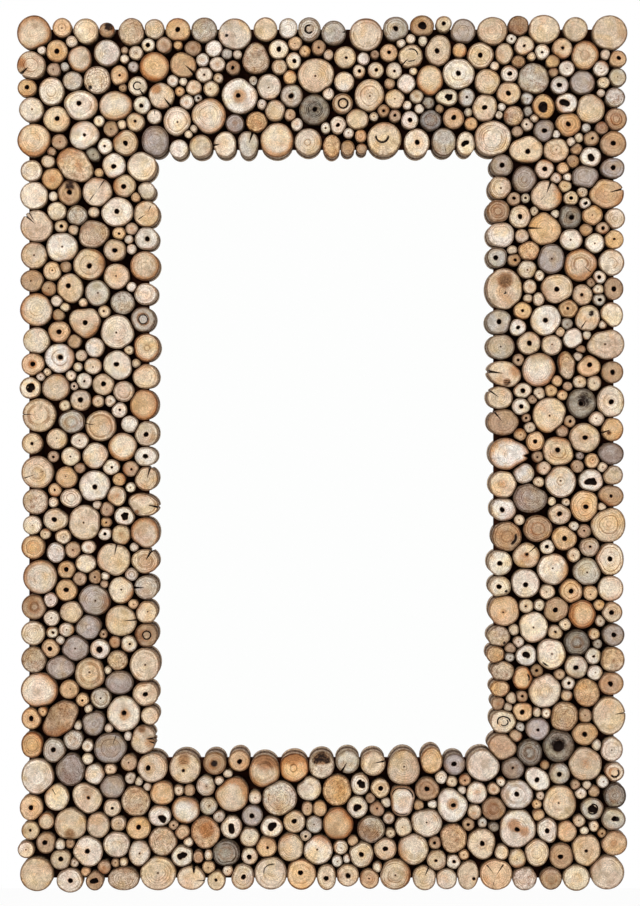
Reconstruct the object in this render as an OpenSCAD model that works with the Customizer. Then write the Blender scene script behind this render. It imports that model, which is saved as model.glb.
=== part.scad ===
// Portrait wall mirror framed with short cuts of driftwood branch.
// X runs across the mirror, Z up, and the wall is on the +Y side.
// The origin is the middle of the whole mirror, half way through its depth.

/* [Frame] */
// Width over the outermost branch slices
frame_w = 698; // [560:1:900]
// Height over the outermost branch slices
frame_h = 1000; // [820:1:1300]
// Width of the mosaic border from the outline to the opening
border_w = 160; // [130:1:190]
// How far the backing boards stop short of the outline
outer_reveal = 14.5; // [6:0.5:16]
// How far the inner slices reach out over the edge of the boards
inner_overhang = 8; // [2:0.5:9]

/* [Slices] */
// Length of a full branch slice, from the board to its face
slice_len = 28; // [18:0.5:45]
// Most that a slice stops short of the full length
short_cut = 2.4; // [0:0.1:5]
// Least gap between two neighbouring slices
slice_gap = 0.5; // [0.3:0.05:1.5]
// Width that each slice gains where its neighbours leave room
slice_spare = 0.8; // [0:0.1:2]
// Wear that rounds off the rim of a face
rim_wear = 1.2; // [0.3:0.1:2]
// Width of a plain pith hole
pith_w = 5; // [3:0.1:7]
// Depth of a pith hole
pith_deep = 9; // [4:0.5:14]
// Share of a slice's width that a rotted-out hollow takes
hollow_share = 0.42; // [0.3:0.01:0.5]

/* [Backing boards] */
// Thickness of the backing boards
board_t = 12; // [11:0.5:20]
// Width of the rebate that holds the glass
rebate_w = 10; // [6:0.5:16]
// Gap at the shoulders of the half-lap corners
lap_gap = 0.2; // [0.1:0.05:0.5]

/* [Glazing] */
// Thickness of the mirror glass
glass_t = 4; // [3:0.5:5]
// Thickness of the packing sheet
packing_t = 1; // [0.5:0.5:2]
// Thickness of the hardboard back
panel_t = 3; // [2.5:0.5:4]
// Gap round the edge of the glass, packing and back
edge_gap = 1.5; // [0.5:0.1:3]

/* [Turn buttons] */
// Length of a turn button
button_l = 26; // [22:0.5:40]
// Width of a turn button
button_w = 11; // [10:0.5:16]
// Thickness of a turn button
button_t = 1.5; // [1:0.1:2.5]
// Distance from the edge of the back panel to a button's screw
button_off = 8; // [6:0.5:10]
// Gap under and over a turn button
button_gap = 0.2; // [0.1:0.05:0.4]

/* [Hangers] */
// Distance from the top of the mirror down to the hanger rings
hanger_drop = 250; // [180:1:330]
// Width of a hanger strap
strap_w = 14; // [12:0.5:20]
// Length of a hanger strap below its ring
strap_l = 40; // [38:0.5:60]
// Thickness of a hanger strap
strap_t = 1.2; // [1:0.1:1.4]
// Diameter of the ring wire
wire_d = 2.5; // [2:0.1:2.8]
// Inside width of the ring
ring_w = 20; // [18:0.5:30]
// Inside height of the ring
ring_h = 17; // [14:0.5:28]
// Running gap between the ring and the rolled end of its strap
eye_gap = 0.3; // [0.2:0.05:0.4]
// Gap between the ring at rest and the head of the screw inside it
ring_screw_gap = 0.35; // [0.2:0.05:1]

/* [Screws and pads] */
// Diameter of the screw shanks
shank_d = 3.5; // [3:0.1:4]
// Diameter of the pan heads
head_d = 7; // [6:0.1:8]
// Height of the pan heads
head_h = 1.8; // [1.2:0.1:2.2]
// Length under the head of the screws for the buttons and the hangers
screw_l = 10; // [8:0.5:10.5]
// Wood left in front of the tips of the corner screws
tip_cover = 1.5; // [1:0.5:3]
// Gap round a screw in its hole
screw_gap = 0.1; // [0.05:0.05:0.2]
// Diameter of a wall pad
pad_d = 20; // [12:0.5:30]
// Thickness of a wall pad
pad_t = 6.5; // [6.5:0.5:10]
// Distance from a pad's middle to the edges of its board corner
pad_in = 28; // [18:1:45]

/* [Hidden] */

$fn = 32;

// Levels through the depth, with the wall at +Y
depth = pad_t + board_t + slice_len;
wall_y = depth / 2;
back_y = wall_y - pad_t;
board_y = back_y - board_t;
lap_y = back_y - board_t / 2;
rebate_deep = glass_t + packing_t + panel_t;

// Half sizes of the opening, the boards, their sight edge and the glazing
open_x = frame_w / 2 - border_w;
open_z = frame_h / 2 - border_w;
board_x = frame_w / 2 - outer_reveal;
board_z = frame_h / 2 - outer_reveal;
sight_x = open_x + inner_overhang;
sight_z = open_z + inner_overhang;
rebate_x = sight_x + rebate_w;
rebate_z = sight_z + rebate_w;
pane_x = rebate_x - edge_gap;
pane_z = rebate_z - edge_gap;
board_w = board_x - sight_x;
rail_w = board_z - sight_z;

// The wall mirror that the slices below were set out on
set_open = [190, 340];
set_out = [350, 501];

// Infill slices from this width up are large, and under the second one they are small
large_from = 26;
small_under = 15.5;
// A slice is a round one where its two widths differ by less than this share
round_share = 0.11;
// and where its neighbours leave it at least this share of its width
free_share = 0.97;
// Other slices have flat facets of about this width, and no fewer than this many
facet_w = 5.5;
least_facets = 12;
// Wear and pith take no more than these shares of a slice's radius
wear_most = 0.2;
pith_most = 0.6;
// Cuts run this far past a face, and screw holes this far past a screw's tip
past = 1;
tip_room = 0.5;

// Each slice is [x, z, width, height, look, turn], set out by eye in whole millimetres.
// The first letter of a look is the tone of the wood. The second is the feature of its face:
// O and S have a pith hole, H has a rotted-out hollow, and the others are only markings.
TONES = [
    ["c", "ivory"], ["p", "antiquewhite"], ["t", "burlywood"], ["h", "sandybrown"],
    ["g", "darkgray"], ["v", "rosybrown"], ["b", "peru"], ["k", "dimgray"]
];

TOP_OUTER = [
    [-328, 480, 39, 40, "tr"], [-296, 486, 23, 22, "hd"], [-269, 482, 29, 29, "p."],
    [-245, 483, 18, 17, "kw"], [-217, 481, 30, 32, "vm"], [-191, 484, 23, 24, "p."],
    [-164, 483, 29, 28, "hO"], [-134, 483, 30, 29, "kT"], [-99, 478, 38, 37, "pc"],
    [-64, 484, 30, 27, "t."], [-38, 485, 22, 24, "c."], [-14, 484, 26, 28, "gw"],
    [14, 480, 28, 31, "gc"], [51, 478, 41, 39, "t."], [85, 484, 30, 29, "bO"],
    [115, 487, 28, 26, "bH"], [140, 490, 19, 19, "pO"], [162, 482, 29, 28, "v."],
    [196, 482, 36, 32, "t."], [225, 488, 25, 23, "bm"], [254, 484, 37, 33, "t."],
    [290, 484, 30, 28, "t."], [329, 480, 40, 40, "tc"]
];
RIGHT_OUTER = [
    [338, 450, 21, 20, "hO"], [338, 429, 20, 22, "gd"], [335, 406, 23, 23, "gm"],
    [336, 381, 25, 26, "bT"], [333, 353, 30, 30, "gO"], [332, 325, 28, 26, "vO"],
    [325, 296, 42, 34, "bw"], [335, 268, 23, 24, "t."], [334, 244, 22, 22, "ho"],
    [331, 218, 29, 31, "p."], [333, 188, 23, 26, "bO"], [331, 158, 26, 29, "p."],
    [323, 125, 46, 39, "td"], [332, 93, 25, 26, "bO"], [330, 59, 31, 38, "cO"],
    [332, 28, 25, 28, "hw"], [330, 0, 30, 26, "v."], [332, -24, 25, 23, "t."],
    [330, -48, 30, 25, "bo"], [327, -80, 40, 42, "t."], [329, -120, 32, 39, "pO"],
    [330, -153, 29, 30, "p."], [331, -180, 25, 24, "tO"], [333, -206, 26, 27, "bO"],
    [332, -234, 28, 30, "tm"], [330, -261, 30, 26, "vO"], [328, -298, 38, 44, "tc"],
    [331, -336, 26, 28, "pd"], [334, -362, 23, 22, "tT"], [335, -389, 25, 29, "gT"],
    [333, -416, 28, 26, "gO"], [334, -443, 30, 29, "hs"]
];
BOTTOM_OUTER = [
    [-325, -479, 39, 41, "t."], [-287, -486, 31, 28, "gO"], [-259, -486, 21, 24, "bH"],
    [-226, -484, 37, 27, "tm"], [-187, -478, 42, 39, "td"], [-149, -483, 33, 28, "tw"],
    [-120, -486, 21, 24, "to"], [-90, -482, 27, 30, "pO"], [-58, -478, 38, 38, "tw"],
    [-23, -479, 34, 36, "hO"], [6, -482, 22, 31, "pO"], [30, -480, 26, 26, "tO"],
    [55, -484, 23, 24, "hd"], [84, -479, 37, 36, "td"], [118, -483, 28, 29, "tw"],
    [143, -484, 25, 25, "p."], [167, -479, 25, 36, "to"], [200, -479, 38, 36, "hw"],
    [232, -484, 28, 27, "pm"], [262, -484, 25, 27, "bT"], [291, -483, 31, 30, "p."],
    [326, -477, 39, 39, "t."]
];
LEFT_OUTER = [
    [-331, 443, 33, 33, "tw"], [-336, 417, 22, 21, "hO"], [-331, 392, 28, 30, "pd"],
    [-328, 357, 38, 38, "tr"], [-331, 322, 25, 25, "t."], [-328, 294, 32, 32, "p."],
    [-325, 259, 37, 37, "tw"], [-328, 226, 30, 31, "gd"], [-330, 197, 27, 25, "bd"],
    [-325, 164, 38, 38, "pr"], [-325, 129, 31, 30, "t."], [-329, 102, 27, 26, "hO"],
    [-332, 75, 25, 25, "gH"], [-322, 44, 38, 42, "tc"], [-330, 12, 24, 26, "to"],
    [-324, -21, 37, 38, "tc"], [-326, -54, 30, 30, "vm"], [-330, -81, 22, 23, "cd"],
    [-329, -106, 27, 28, "hT"], [-321, -140, 39, 41, "pr"], [-328, -174, 28, 29, "bT"],
    [-329, -204, 27, 29, "t."], [-328, -234, 29, 30, "vm"], [-322, -269, 42, 40, "pr"],
    [-331, -301, 23, 25, "bO"], [-330, -331, 25, 31, "hr"], [-324, -367, 37, 42, "p."],
    [-331, -403, 27, 30, "hO"], [-332, -429, 21, 22, "to"], [-337, -451, 19, 21, "pd"]
];
TOP_INNER = [
    [-190, 356, 31, 37, "v."], [-163, 347, 22, 24, "c."], [-138, 350, 27, 29, "p."],
    [-110, 352, 26, 30, "pc"], [-84, 352, 27, 31, "gw"], [-51, 357, 38, 40, "pr"],
    [-15, 355, 31, 34, "p."], [12, 350, 20, 27, "hm"], [30, 348, 16, 18, "b."],
    [46, 347, 13, 12, "b."], [72, 358, 40, 41, "tw"], [109, 354, 29, 33, "pO"],
    [140, 355, 28, 33, "gc"], [165, 353, 21, 28, "pH"], [196, 359, 43, 41, "p."]
];
RIGHT_INNER = [
    [206, 328, 26, 26, "bO"], [204, 303, 26, 28, "td"], [202, 276, 27, 28, "bT"],
    [205, 249, 32, 31, "p."], [201, 224, 24, 25, "gO"], [209, 188, 41, 49, "tB"],
    [203, 150, 30, 29, "gO"], [205, 122, 32, 29, "gd"], [210, 91, 42, 29, "tw", -15],
    [204, 64, 30, 26, "tc"], [208, 36, 37, 30, "vc"], [215, 0, 47, 40, "pr"],
    [208, -35, 32, 32, "ts"], [208, -63, 30, 27, "cO"], [212, -94, 34, 35, "bw"],
    [204, -124, 28, 29, "cO"], [204, -151, 26, 24, "cO"], [209, -178, 35, 36, "hd"],
    [203, -208, 27, 24, "tm"], [199, -228, 21, 21, "hm"], [207, -247, 28, 24, "tm"],
    [204, -267, 23, 20, "hm"], [202, -284, 16, 16, "bs"], [208, -304, 31, 29, "pw"],
    [207, -333, 34, 30, "t."]
];
BOTTOM_INNER = [
    [-193, -357, 35, 34, "tO"], [-156, -357, 36, 36, "to"], [-122, -352, 27, 29, "bT"],
    [-94, -349, 25, 26, "hO"], [-65, -361, 36, 39, "tr"], [-31, -357, 34, 33, "hr"],
    [0, -354, 30, 32, "kH"], [30, -350, 28, 28, "gw"], [59, -352, 29, 32, "tw"],
    [94, -357, 41, 42, "td"], [126, -349, 25, 32, "h."], [152, -353, 25, 27, "vO"],
    [185, -354, 39, 37, "p."]
];
LEFT_INNER = [
    [-205, 327, 34, 34, "p."], [-200, 299, 21, 21, "p."], [-200, 273, 29, 31, "tc"],
    [-200, 245, 27, 27, "cO"], [-202, 214, 33, 37, "tr"], [-201, 182, 27, 25, "t."],
    [-204, 153, 28, 29, "gT"], [-200, 121, 30, 33, "tr"], [-201, 88, 30, 29, "b."],
    [-203, 56, 32, 36, "hr"], [-200, 23, 27, 29, "pO"], [-201, -3, 27, 22, "cO"],
    [-200, -28, 27, 28, "vw"], [-204, -58, 37, 26, "tw", -12], [-202, -90, 33, 36, "tr"],
    [-202, -122, 32, 28, "tw"], [-200, -152, 28, 29, "gw"], [-200, -180, 25, 26, "td"],
    [-200, -206, 27, 28, "bT"], [-202, -240, 34, 39, "td"], [-201, -273, 30, 28, "bO"],
    [-196, -298, 21, 21, "t."], [-204, -325, 30, 33, "tw"]
];
TOP_FILL = [
    [-319, 460, 10, 10, "c."], [-302, 459, 25, 26, "hO"], [-285, 470, 13, 13, "p."],
    [-276, 450, 27, 31, "tr"], [-245, 457, 31, 34, "p."], [-225, 460, 8, 8, "b."],
    [-225, 450, 10, 11, "c."], [-212, 457, 16, 17, "td"], [-305, 438, 17, 16, "gd"],
    [-293, 441, 10, 10, "g."], [-256, 426, 31, 32, "pm"], [-284, 425, 23, 22, "g."],
    [-231, 431, 20, 24, "ho"], [-215, 441, 12, 13, "gd"], [-308, 413, 29, 33, "p."],
    [-275, 397, 40, 34, "cO"], [-227, 417, 9, 9, "bd"], [-235, 396, 39, 35, "pr"],
    [-210, 419, 22, 23, "pw"], [-302, 381, 31, 30, "gO"], [-254, 379, 12, 13, "cd"],
    [-271, 362, 36, 34, "co"], [-240, 370, 18, 19, "vd"], [-228, 375, 11, 11, "p."],
    [-213, 378, 22, 22, "to"], [-299, 355, 18, 18, "bd"], [-308, 344, 10, 10, "bm"],
    [-247, 350, 17, 19, "co"], [-224, 354, 29, 30, "tO"], [-198, 466, 15, 17, "cH"],
    [-180, 466, 18, 19, "bs"], [-164, 466, 10, 10, "h."], [-147, 462, 20, 18, "bs"],
    [-123, 462, 20, 20, "c."], [-108, 456, 13, 12, "g."], [-96, 455, 10, 10, "p."],
    [-75, 450, 32, 38, "tm"], [-191, 441, 34, 36, "hr"], [-158, 443, 31, 31, "gw"],
    [-136, 449, 15, 16, "cs"], [-119, 444, 18, 17, "ps"], [-101, 440, 16, 17, "bO"],
    [-134, 432, 20, 18, "po"], [-118, 428, 11, 11, "td"], [-170, 425, 13, 14, "ps"],
    [-158, 424, 9, 9, "c."], [-162, 413, 11, 12, "hd"], [-146, 417, 18, 18, "ts"],
    [-126, 416, 18, 19, "pd"], [-141, 405, 9, 9, "gO"], [-183, 408, 30, 30, "tw"],
    [-205, 397, 20, 21, "cO"], [-154, 401, 16, 17, "cs"], [-93, 408, 42, 41, "cS"],
    [-68, 398, 11, 12, "pd"], [-78, 425, 9, 11, "gd"], [-191, 384, 17, 19, "pc"],
    [-165, 379, 31, 34, "pd"], [-129, 385, 39, 41, "pr"], [-99, 376, 21, 22, "vs"],
    [-74, 378, 25, 24, "hm"], [-146, 370, 8, 9, "t."], [-152, 364, 9, 9, "c."],
    [-49, 461, 23, 23, "pO"], [-30, 468, 16, 16, "hd"], [-19, 459, 13, 13, "hd"],
    [-3, 463, 16, 18, "vo"], [8, 455, 11, 12, "t."], [27, 452, 25, 26, "to"],
    [48, 450, 14, 15, "c."], [61, 455, 10, 10, "bd"], [77, 457, 20, 21, "hO"],
    [-32, 448, 17, 20, "cO"], [-48, 441, 18, 18, "ts"], [-36, 429, 15, 17, "h."],
    [-6, 431, 43, 40, "td"], [26, 424, 24, 23, "c."], [43, 436, 14, 16, "tO"],
    [62, 437, 20, 18, "pO"], [-60, 418, 28, 30, "gd"], [-34, 408, 26, 27, "gO"],
    [8, 410, 13, 14, "pc"], [24, 399, 24, 24, "tT"], [55, 408, 34, 38, "td"],
    [-8, 392, 35, 35, "kO"], [-53, 391, 24, 25, "t."], [-36, 386, 13, 14, "bd"],
    [-28, 375, 13, 15, "cs"], [5, 371, 11, 13, "co"], [19, 374, 19, 21, "cO"],
    [31, 365, 12, 12, "cd"], [41, 381, 26, 24, "t."], [60, 384, 10, 11, "pd"],
    [71, 391, 14, 15, "bO"], [45, 362, 13, 15, "h."], [91, 468, 10, 10, "p."],
    [102, 473, 11, 11, "p."], [116, 471, 10, 13, "c."], [102, 453, 28, 29, "tw"],
    [134, 460, 31, 36, "tO"], [158, 460, 16, 17, "h."], [182, 454, 31, 30, "gO"],
    [209, 456, 20, 25, "t."], [83, 436, 18, 21, "po"], [105, 436, 9, 9, "p."],
    [97, 422, 21, 23, "c."], [78, 422, 12, 13, "b."], [124, 425, 30, 37, "tr"],
    [157, 433, 37, 36, "cO"], [190, 424, 29, 30, "t."], [198, 442, 10, 10, "p."],
    [84, 404, 23, 23, "td"], [109, 407, 16, 16, "ps"], [143, 406, 26, 22, "cH"],
    [166, 406, 20, 22, "go"], [122, 400, 15, 15, "k."], [98, 397, 10, 10, "c."],
    [112, 393, 11, 11, "p."], [135, 393, 9, 10, "b."], [187, 394, 31, 31, "tO"],
    [84, 385, 14, 15, "bO"], [101, 380, 20, 22, "cO"], [125, 380, 25, 24, "kT"],
    [151, 382, 24, 25, "hO"], [168, 389, 9, 10, "g."], [171, 376, 15, 15, "hd"],
    [203, 386, 8, 9, "p."], [206, 395, 9, 9, "c."], [217, 473, 12, 11, "co"],
    [232, 465, 23, 23, "to"], [252, 458, 17, 18, "co"], [240, 453, 10, 10, "t."],
    [225, 447, 16, 14, "bm"], [275, 462, 23, 24, "to"], [301, 454, 31, 34, "tr"],
    [324, 455, 11, 12, "p."], [264, 447, 16, 16, "h."], [215, 433, 20, 20, "cO"],
    [280, 439, 18, 20, "cd"], [265, 435, 11, 11, "b."], [319, 439, 18, 19, "cd"],
    [242, 427, 36, 37, "gm"], [272, 420, 20, 22, "cO"], [298, 423, 29, 28, "v."],
    [322, 423, 14, 13, "pd"], [319, 411, 9, 10, "p."], [214, 411, 28, 27, "tO"],
    [235, 405, 14, 15, "gd"], [253, 395, 26, 30, "hH"], [280, 399, 26, 24, "cH"],
    [307, 393, 33, 35, "t."], [236, 390, 11, 13, "k."], [220, 385, 24, 23, "tm"],
    [282, 375, 30, 28, "hO"], [243, 382, 10, 9, "p."], [235, 375, 14, 15, "po"],
    [255, 368, 25, 26, "vO"], [302, 371, 10, 11, "g."], [320, 371, 15, 15, "bs"],
    [268, 364, 9, 9, "c."], [224, 367, 13, 12, "b."], [308, 359, 18, 18, "bo"],
    [294, 360, 10, 11, "p."], [285, 355, 10, 10, "p."], [291, 347, 14, 13, "bm"],
    [234, 347, 40, 34, "tO"], [268, 346, 30, 28, "td"]
];
LEFT_FILL = [
    [-312, 333, 16, 15, "t."], [-281, 329, 48, 37, "tm", -35], [-261, 341, 20, 14, "kd", -35],
    [-254, 320, 10, 10, "h."], [-237, 328, 27, 30, "cO"], [-307, 313, 25, 25, "hs"],
    [-288, 297, 27, 29, "bO"], [-306, 293, 10, 11, "c."], [-302, 276, 22, 22, "p."],
    [-279, 271, 24, 24, "k."], [-260, 275, 13, 12, "p."], [-256, 298, 34, 34, "tw"],
    [-225, 305, 26, 26, "tO"], [-212, 292, 11, 11, "h."], [-233, 275, 37, 35, "cO"],
    [-297, 259, 15, 15, "tO"], [-283, 255, 12, 12, "t."], [-261, 250, 38, 33, "tm"],
    [-231, 251, 16, 15, "ho"], [-217, 256, 15, 14, "ts"], [-220, 244, 10, 10, "p."],
    [-296, 235, 36, 36, "cd"], [-265, 216, 37, 37, "tO"], [-236, 232, 26, 26, "tO"],
    [-217, 233, 11, 12, "p."], [-307, 208, 21, 22, "td"], [-292, 213, 13, 13, "b."],
    [-234, 202, 30, 30, "td"], [-287, 188, 30, 35, "tO"], [-311, 188, 17, 17, "bd"],
    [-302, 174, 14, 13, "t."], [-293, 167, 11, 10, "p."], [-272, 172, 10, 10, "v."],
    [-256, 183, 28, 30, "gd"], [-217, 190, 11, 11, "c."], [-227, 172, 28, 27, "kd"],
    [-248, 162, 14, 14, "to"], [-300, 158, 14, 14, "b."], [-270, 150, 38, 38, "tO"],
    [-233, 139, 39, 40, "pd"], [-299, 139, 26, 25, "hO"], [-282, 128, 16, 16, "b."],
    [-259, 121, 22, 23, "c."], [-274, 112, 13, 13, "td"], [-299, 109, 35, 34, "cO"],
    [-261, 100, 20, 19, "td"], [-278, 99, 11, 10, "c."], [-232, 101, 35, 34, "cO"],
    [-220, 118, 11, 10, "cd"], [-212, 103, 10, 10, "t."], [-313, 93, 9, 9, "vd"],
    [-320, 88, 11, 10, "pd"], [-286, 89, 12, 12, "cd"], [-271, 83, 18, 19, "co"],
    [-303, 76, 34, 31, "t."], [-282, 77, 9, 9, "cO"], [-249, 79, 25, 25, "tO"],
    [-226, 71, 25, 24, "t."], [-275, 61, 24, 25, "tO"], [-293, 55, 13, 13, "pd"],
    [-255, 60, 14, 14, "td"], [-241, 60, 12, 13, "cd"], [-231, 50, 18, 18, "po"],
    [-219, 34, 20, 20, "c."], [-285, 37, 30, 27, "gT"], [-252, 32, 36, 37, "tc"],
    [-302, 17, 24, 24, "td"], [-276, 15, 21, 19, "pd"], [-227, 8, 33, 32, "pr"],
    [-306, -3, 13, 14, "vO"], [-286, -3, 22, 22, "pd"], [-258, -2, 30, 30, "p."],
    [-276, -16, 13, 12, "b."], [-240, -15, 20, 18, "co"], [-218, -17, 19, 18, "bo"],
    [-291, -27, 25, 26, "hd"], [-231, -29, 15, 15, "hd"], [-259, -37, 36, 37, "cO"],
    [-218, -38, 11, 11, "cd"], [-304, -41, 15, 16, "ho"], [-306, -55, 11, 12, "p."],
    [-286, -50, 25, 22, "p."], [-234, -48, 21, 24, "ps"], [-256, -58, 10, 10, "t."],
    [-245, -63, 16, 18, "bd"], [-303, -75, 29, 27, "vO"], [-270, -78, 38, 41, "td"],
    [-246, -78, 13, 12, "bo"], [-225, -71, 24, 22, "cH"], [-315, -91, 12, 12, "td"],
    [-295, -94, 18, 18, "td"], [-247, -91, 16, 14, "cO", 35], [-229, -92, 22, 24, "ts"],
    [-214, -106, 10, 10, "p."], [-303, -112, 21, 24, "c."], [-284, -109, 18, 19, "bd"],
    [-266, -106, 17, 15, "cs"], [-237, -120, 39, 39, "tw"], [-269, -125, 24, 22, "p."],
    [-291, -132, 21, 21, "hO"], [-276, -142, 16, 16, "bd"], [-258, -140, 15, 16, "bo"],
    [-247, -139, 10, 9, "p."], [-217, -137, 15, 15, "c."], [-248, -148, 9, 9, "b."],
    [-229, -155, 29, 31, "pd"], [-291, -155, 25, 26, "hO"], [-309, -166, 16, 17, "pd"],
    [-259, -166, 38, 36, "vd"], [-215, -171, 12, 11, "hd"], [-285, -180, 27, 26, "t."],
    [-229, -190, 36, 36, "tw"], [-308, -187, 18, 20, "pd"], [-266, -197, 31, 28, "v."],
    [-291, -200, 18, 16, "pd"], [-307, -203, 14, 13, "cO"], [-249, -205, 9, 10, "vo"],
    [-309, -221, 21, 22, "hO"], [-298, -212, 10, 10, "p."], [-281, -221, 32, 29, "vd"],
    [-253, -222, 23, 24, "cH"], [-236, -214, 13, 14, "bs"], [-220, -216, 19, 20, "co"],
    [-233, -235, 24, 23, "tm"], [-298, -243, 34, 27, "v."], [-264, -250, 36, 37, "td"],
    [-244, -246, 8, 9, "p."], [-231, -260, 33, 27, "v."], [-288, -268, 22, 24, "hd"],
    [-273, -280, 15, 16, "ho"], [-252, -278, 24, 24, "gd"], [-266, -290, 9, 10, "p."],
    [-318, -293, 11, 11, "hd"], [-297, -302, 54, 36, "bm", 45], [-226, -296, 38, 42, "cS"],
    [-260, -306, 28, 30, "v."], [-278, -309, 9, 11, "p."], [-243, -312, 10, 10, "p."],
    [-221, -321, 9, 11, "p."], [-283, -325, 23, 24, "gm"], [-267, -332, 13, 14, "ps"],
    [-241, -335, 38, 36, "vc"], [-305, -337, 26, 29, "gO"]
];
RIGHT_FILL = [
    [307, 338, 25, 24, "cH"], [287, 333, 14, 15, "bd"], [255, 324, 22, 23, "tO"],
    [276, 325, 14, 14, "h."], [268, 314, 13, 12, "pd"], [281, 315, 10, 10, "p."],
    [232, 312, 28, 32, "v."], [301, 315, 32, 27, "v."], [278, 305, 15, 14, "td"],
    [298, 298, 12, 12, "td"], [257, 294, 37, 36, "tw"], [285, 291, 17, 17, "tO"],
    [301, 285, 13, 13, "cH"], [220, 290, 16, 16, "bO"], [233, 291, 10, 11, "gO"],
    [227, 270, 26, 27, "gO"], [243, 276, 9, 11, "td"], [267, 273, 10, 9, "p."],
    [283, 270, 28, 29, "kO"], [309, 272, 24, 25, "hd"], [321, 257, 16, 14, "bO"],
    [302, 255, 15, 14, "b."], [255, 257, 38, 40, "tw"], [229, 248, 16, 16, "ts"],
    [285, 244, 26, 25, "cd"], [312, 240, 22, 23, "cd"], [218, 232, 12, 10, "t."],
    [237, 231, 26, 22, "hm"], [220, 221, 16, 15, "bO"], [262, 222, 31, 36, "vd"],
    [296, 215, 38, 38, "tr"], [235, 210, 22, 21, "pd"], [249, 203, 11, 13, "cd"],
    [317, 201, 16, 15, "cO"], [308, 195, 10, 11, "bd"], [316, 187, 13, 12, "cd"],
    [317, 176, 15, 15, "gO"], [238, 190, 15, 17, "ts"], [236, 177, 11, 10, "p."],
    [248, 176, 13, 16, "p."], [269, 188, 38, 34, "tO"], [298, 181, 24, 25, "to"],
    [230, 163, 21, 21, "ho"], [282, 165, 23, 22, "ho"], [257, 152, 37, 36, "cO"],
    [304, 154, 29, 32, "tw"], [280, 148, 14, 14, "gd"], [273, 139, 11, 11, "t."],
    [224, 144, 20, 20, "cO"], [321, 147, 9, 10, "p."], [287, 132, 25, 24, "c."],
    [303, 135, 10, 10, "p."], [237, 126, 27, 27, "tO"], [263, 124, 24, 24, "td"],
    [296, 119, 11, 9, "b."], [293, 111, 10, 11, "p."], [225, 107, 13, 14, "bO"],
    [280, 101, 22, 36, "tm"], [305, 99, 27, 27, "hO"], [248, 96, 39, 39, "pr"],
    [269, 83, 12, 13, "h."], [295, 82, 16, 15, "td"], [311, 81, 16, 19, "td"],
    [281, 77, 11, 10, "b."], [230, 72, 22, 18, "pO"], [249, 69, 14, 14, "td"],
    [262, 72, 15, 14, "hd"], [275, 67, 12, 12, "hd"], [241, 62, 11, 10, "bd"],
    [297, 58, 33, 36, "kO"], [228, 54, 21, 20, "cO"], [261, 44, 39, 42, "td"],
    [234, 41, 10, 10, "bO"], [283, 37, 14, 14, "bO"], [314, 40, 18, 17, "td"],
    [238, 30, 13, 13, "td"], [227, 22, 15, 14, "hd"], [275, 26, 14, 14, "b."],
    [300, 18, 36, 35, "tO"], [244, 14, 21, 25, "hO"], [270, 3, 38, 34, "tO"],
    [247, -3, 13, 14, "bo"], [295, -2, 9, 9, "vd"], [309, -8, 17, 18, "hd"],
    [254, -16, 17, 16, "td"], [292, -14, 15, 15, "bd"], [321, -15, 12, 12, "td"],
    [231, -22, 24, 24, "c."], [248, -32, 13, 12, "td"], [273, -31, 36, 38, "pd"],
    [308, -30, 29, 26, "cH"], [238, -50, 42, 34, "vm"], [263, -54, 9, 10, "c."],
    [279, -55, 9, 9, "cd"], [272, -68, 26, 25, "tO"], [301, -59, 34, 37, "hO"],
    [320, -60, 10, 9, "p."], [226, -75, 13, 12, "td"], [247, -85, 34, 31, "bT"],
    [277, -96, 30, 28, "hO"], [288, -82, 12, 10, "cd"], [300, -88, 16, 16, "vo"],
    [258, -106, 17, 17, "pO"], [234, -116, 31, 30, "tw"], [306, -106, 23, 22, "to"],
    [288, -115, 15, 17, "td"], [264, -131, 36, 37, "pd"], [303, -134, 32, 32, "gd"],
    [233, -147, 33, 35, "pO"], [285, -156, 27, 28, "hO"], [258, -157, 18, 17, "td"],
    [307, -158, 17, 18, "hd"], [234, -173, 17, 16, "to"], [249, -172, 13, 13, "pd"],
    [268, -177, 30, 29, "bO"], [317, -172, 13, 12, "gd"], [297, -182, 33, 33, "hr"],
    [318, -190, 11, 13, "td"], [242, -197, 34, 36, "pd"], [278, -194, 14, 14, "pd"],
    [220, -200, 12, 13, "t."], [267, -203, 17, 17, "to"], [311, -205, 13, 13, "td"],
    [216, -221, 14, 12, "b."], [225, -214, 13, 13, "pd"], [215, -231, 11, 11, "gd"],
    [234, -229, 25, 25, "cH"], [262, -227, 34, 37, "pd"], [292, -215, 30, 30, "gT"],
    [315, -216, 10, 11, "gd"], [310, -230, 19, 20, "co"], [291, -242, 27, 28, "pO"],
    [312, -249, 18, 18, "cd"], [230, -255, 23, 28, "hr"], [246, -247, 14, 16, "bO"],
    [272, -251, 13, 12, "bd"], [282, -261, 15, 16, "pO"], [303, -271, 30, 34, "hm"],
    [255, -269, 37, 41, "p."], [280, -275, 13, 13, "t."], [217, -278, 12, 14, "t."],
    [229, -276, 13, 14, "bO"], [213, -288, 10, 10, "p."], [230, -293, 24, 22, "hO"],
    [246, -294, 9, 11, "t."], [257, -295, 12, 12, "pd"], [277, -299, 34, 36, "tm"],
    [301, -298, 15, 17, "bd"], [227, -311, 10, 11, "gd"], [247, -313, 28, 26, "vo"],
    [222, -320, 15, 15, "b."], [301, -318, 31, 27, "hO"], [238, -340, 29, 31, "kT"],
    [271, -332, 36, 38, "kH"], [314, -331, 11, 13, "p."]
];
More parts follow.
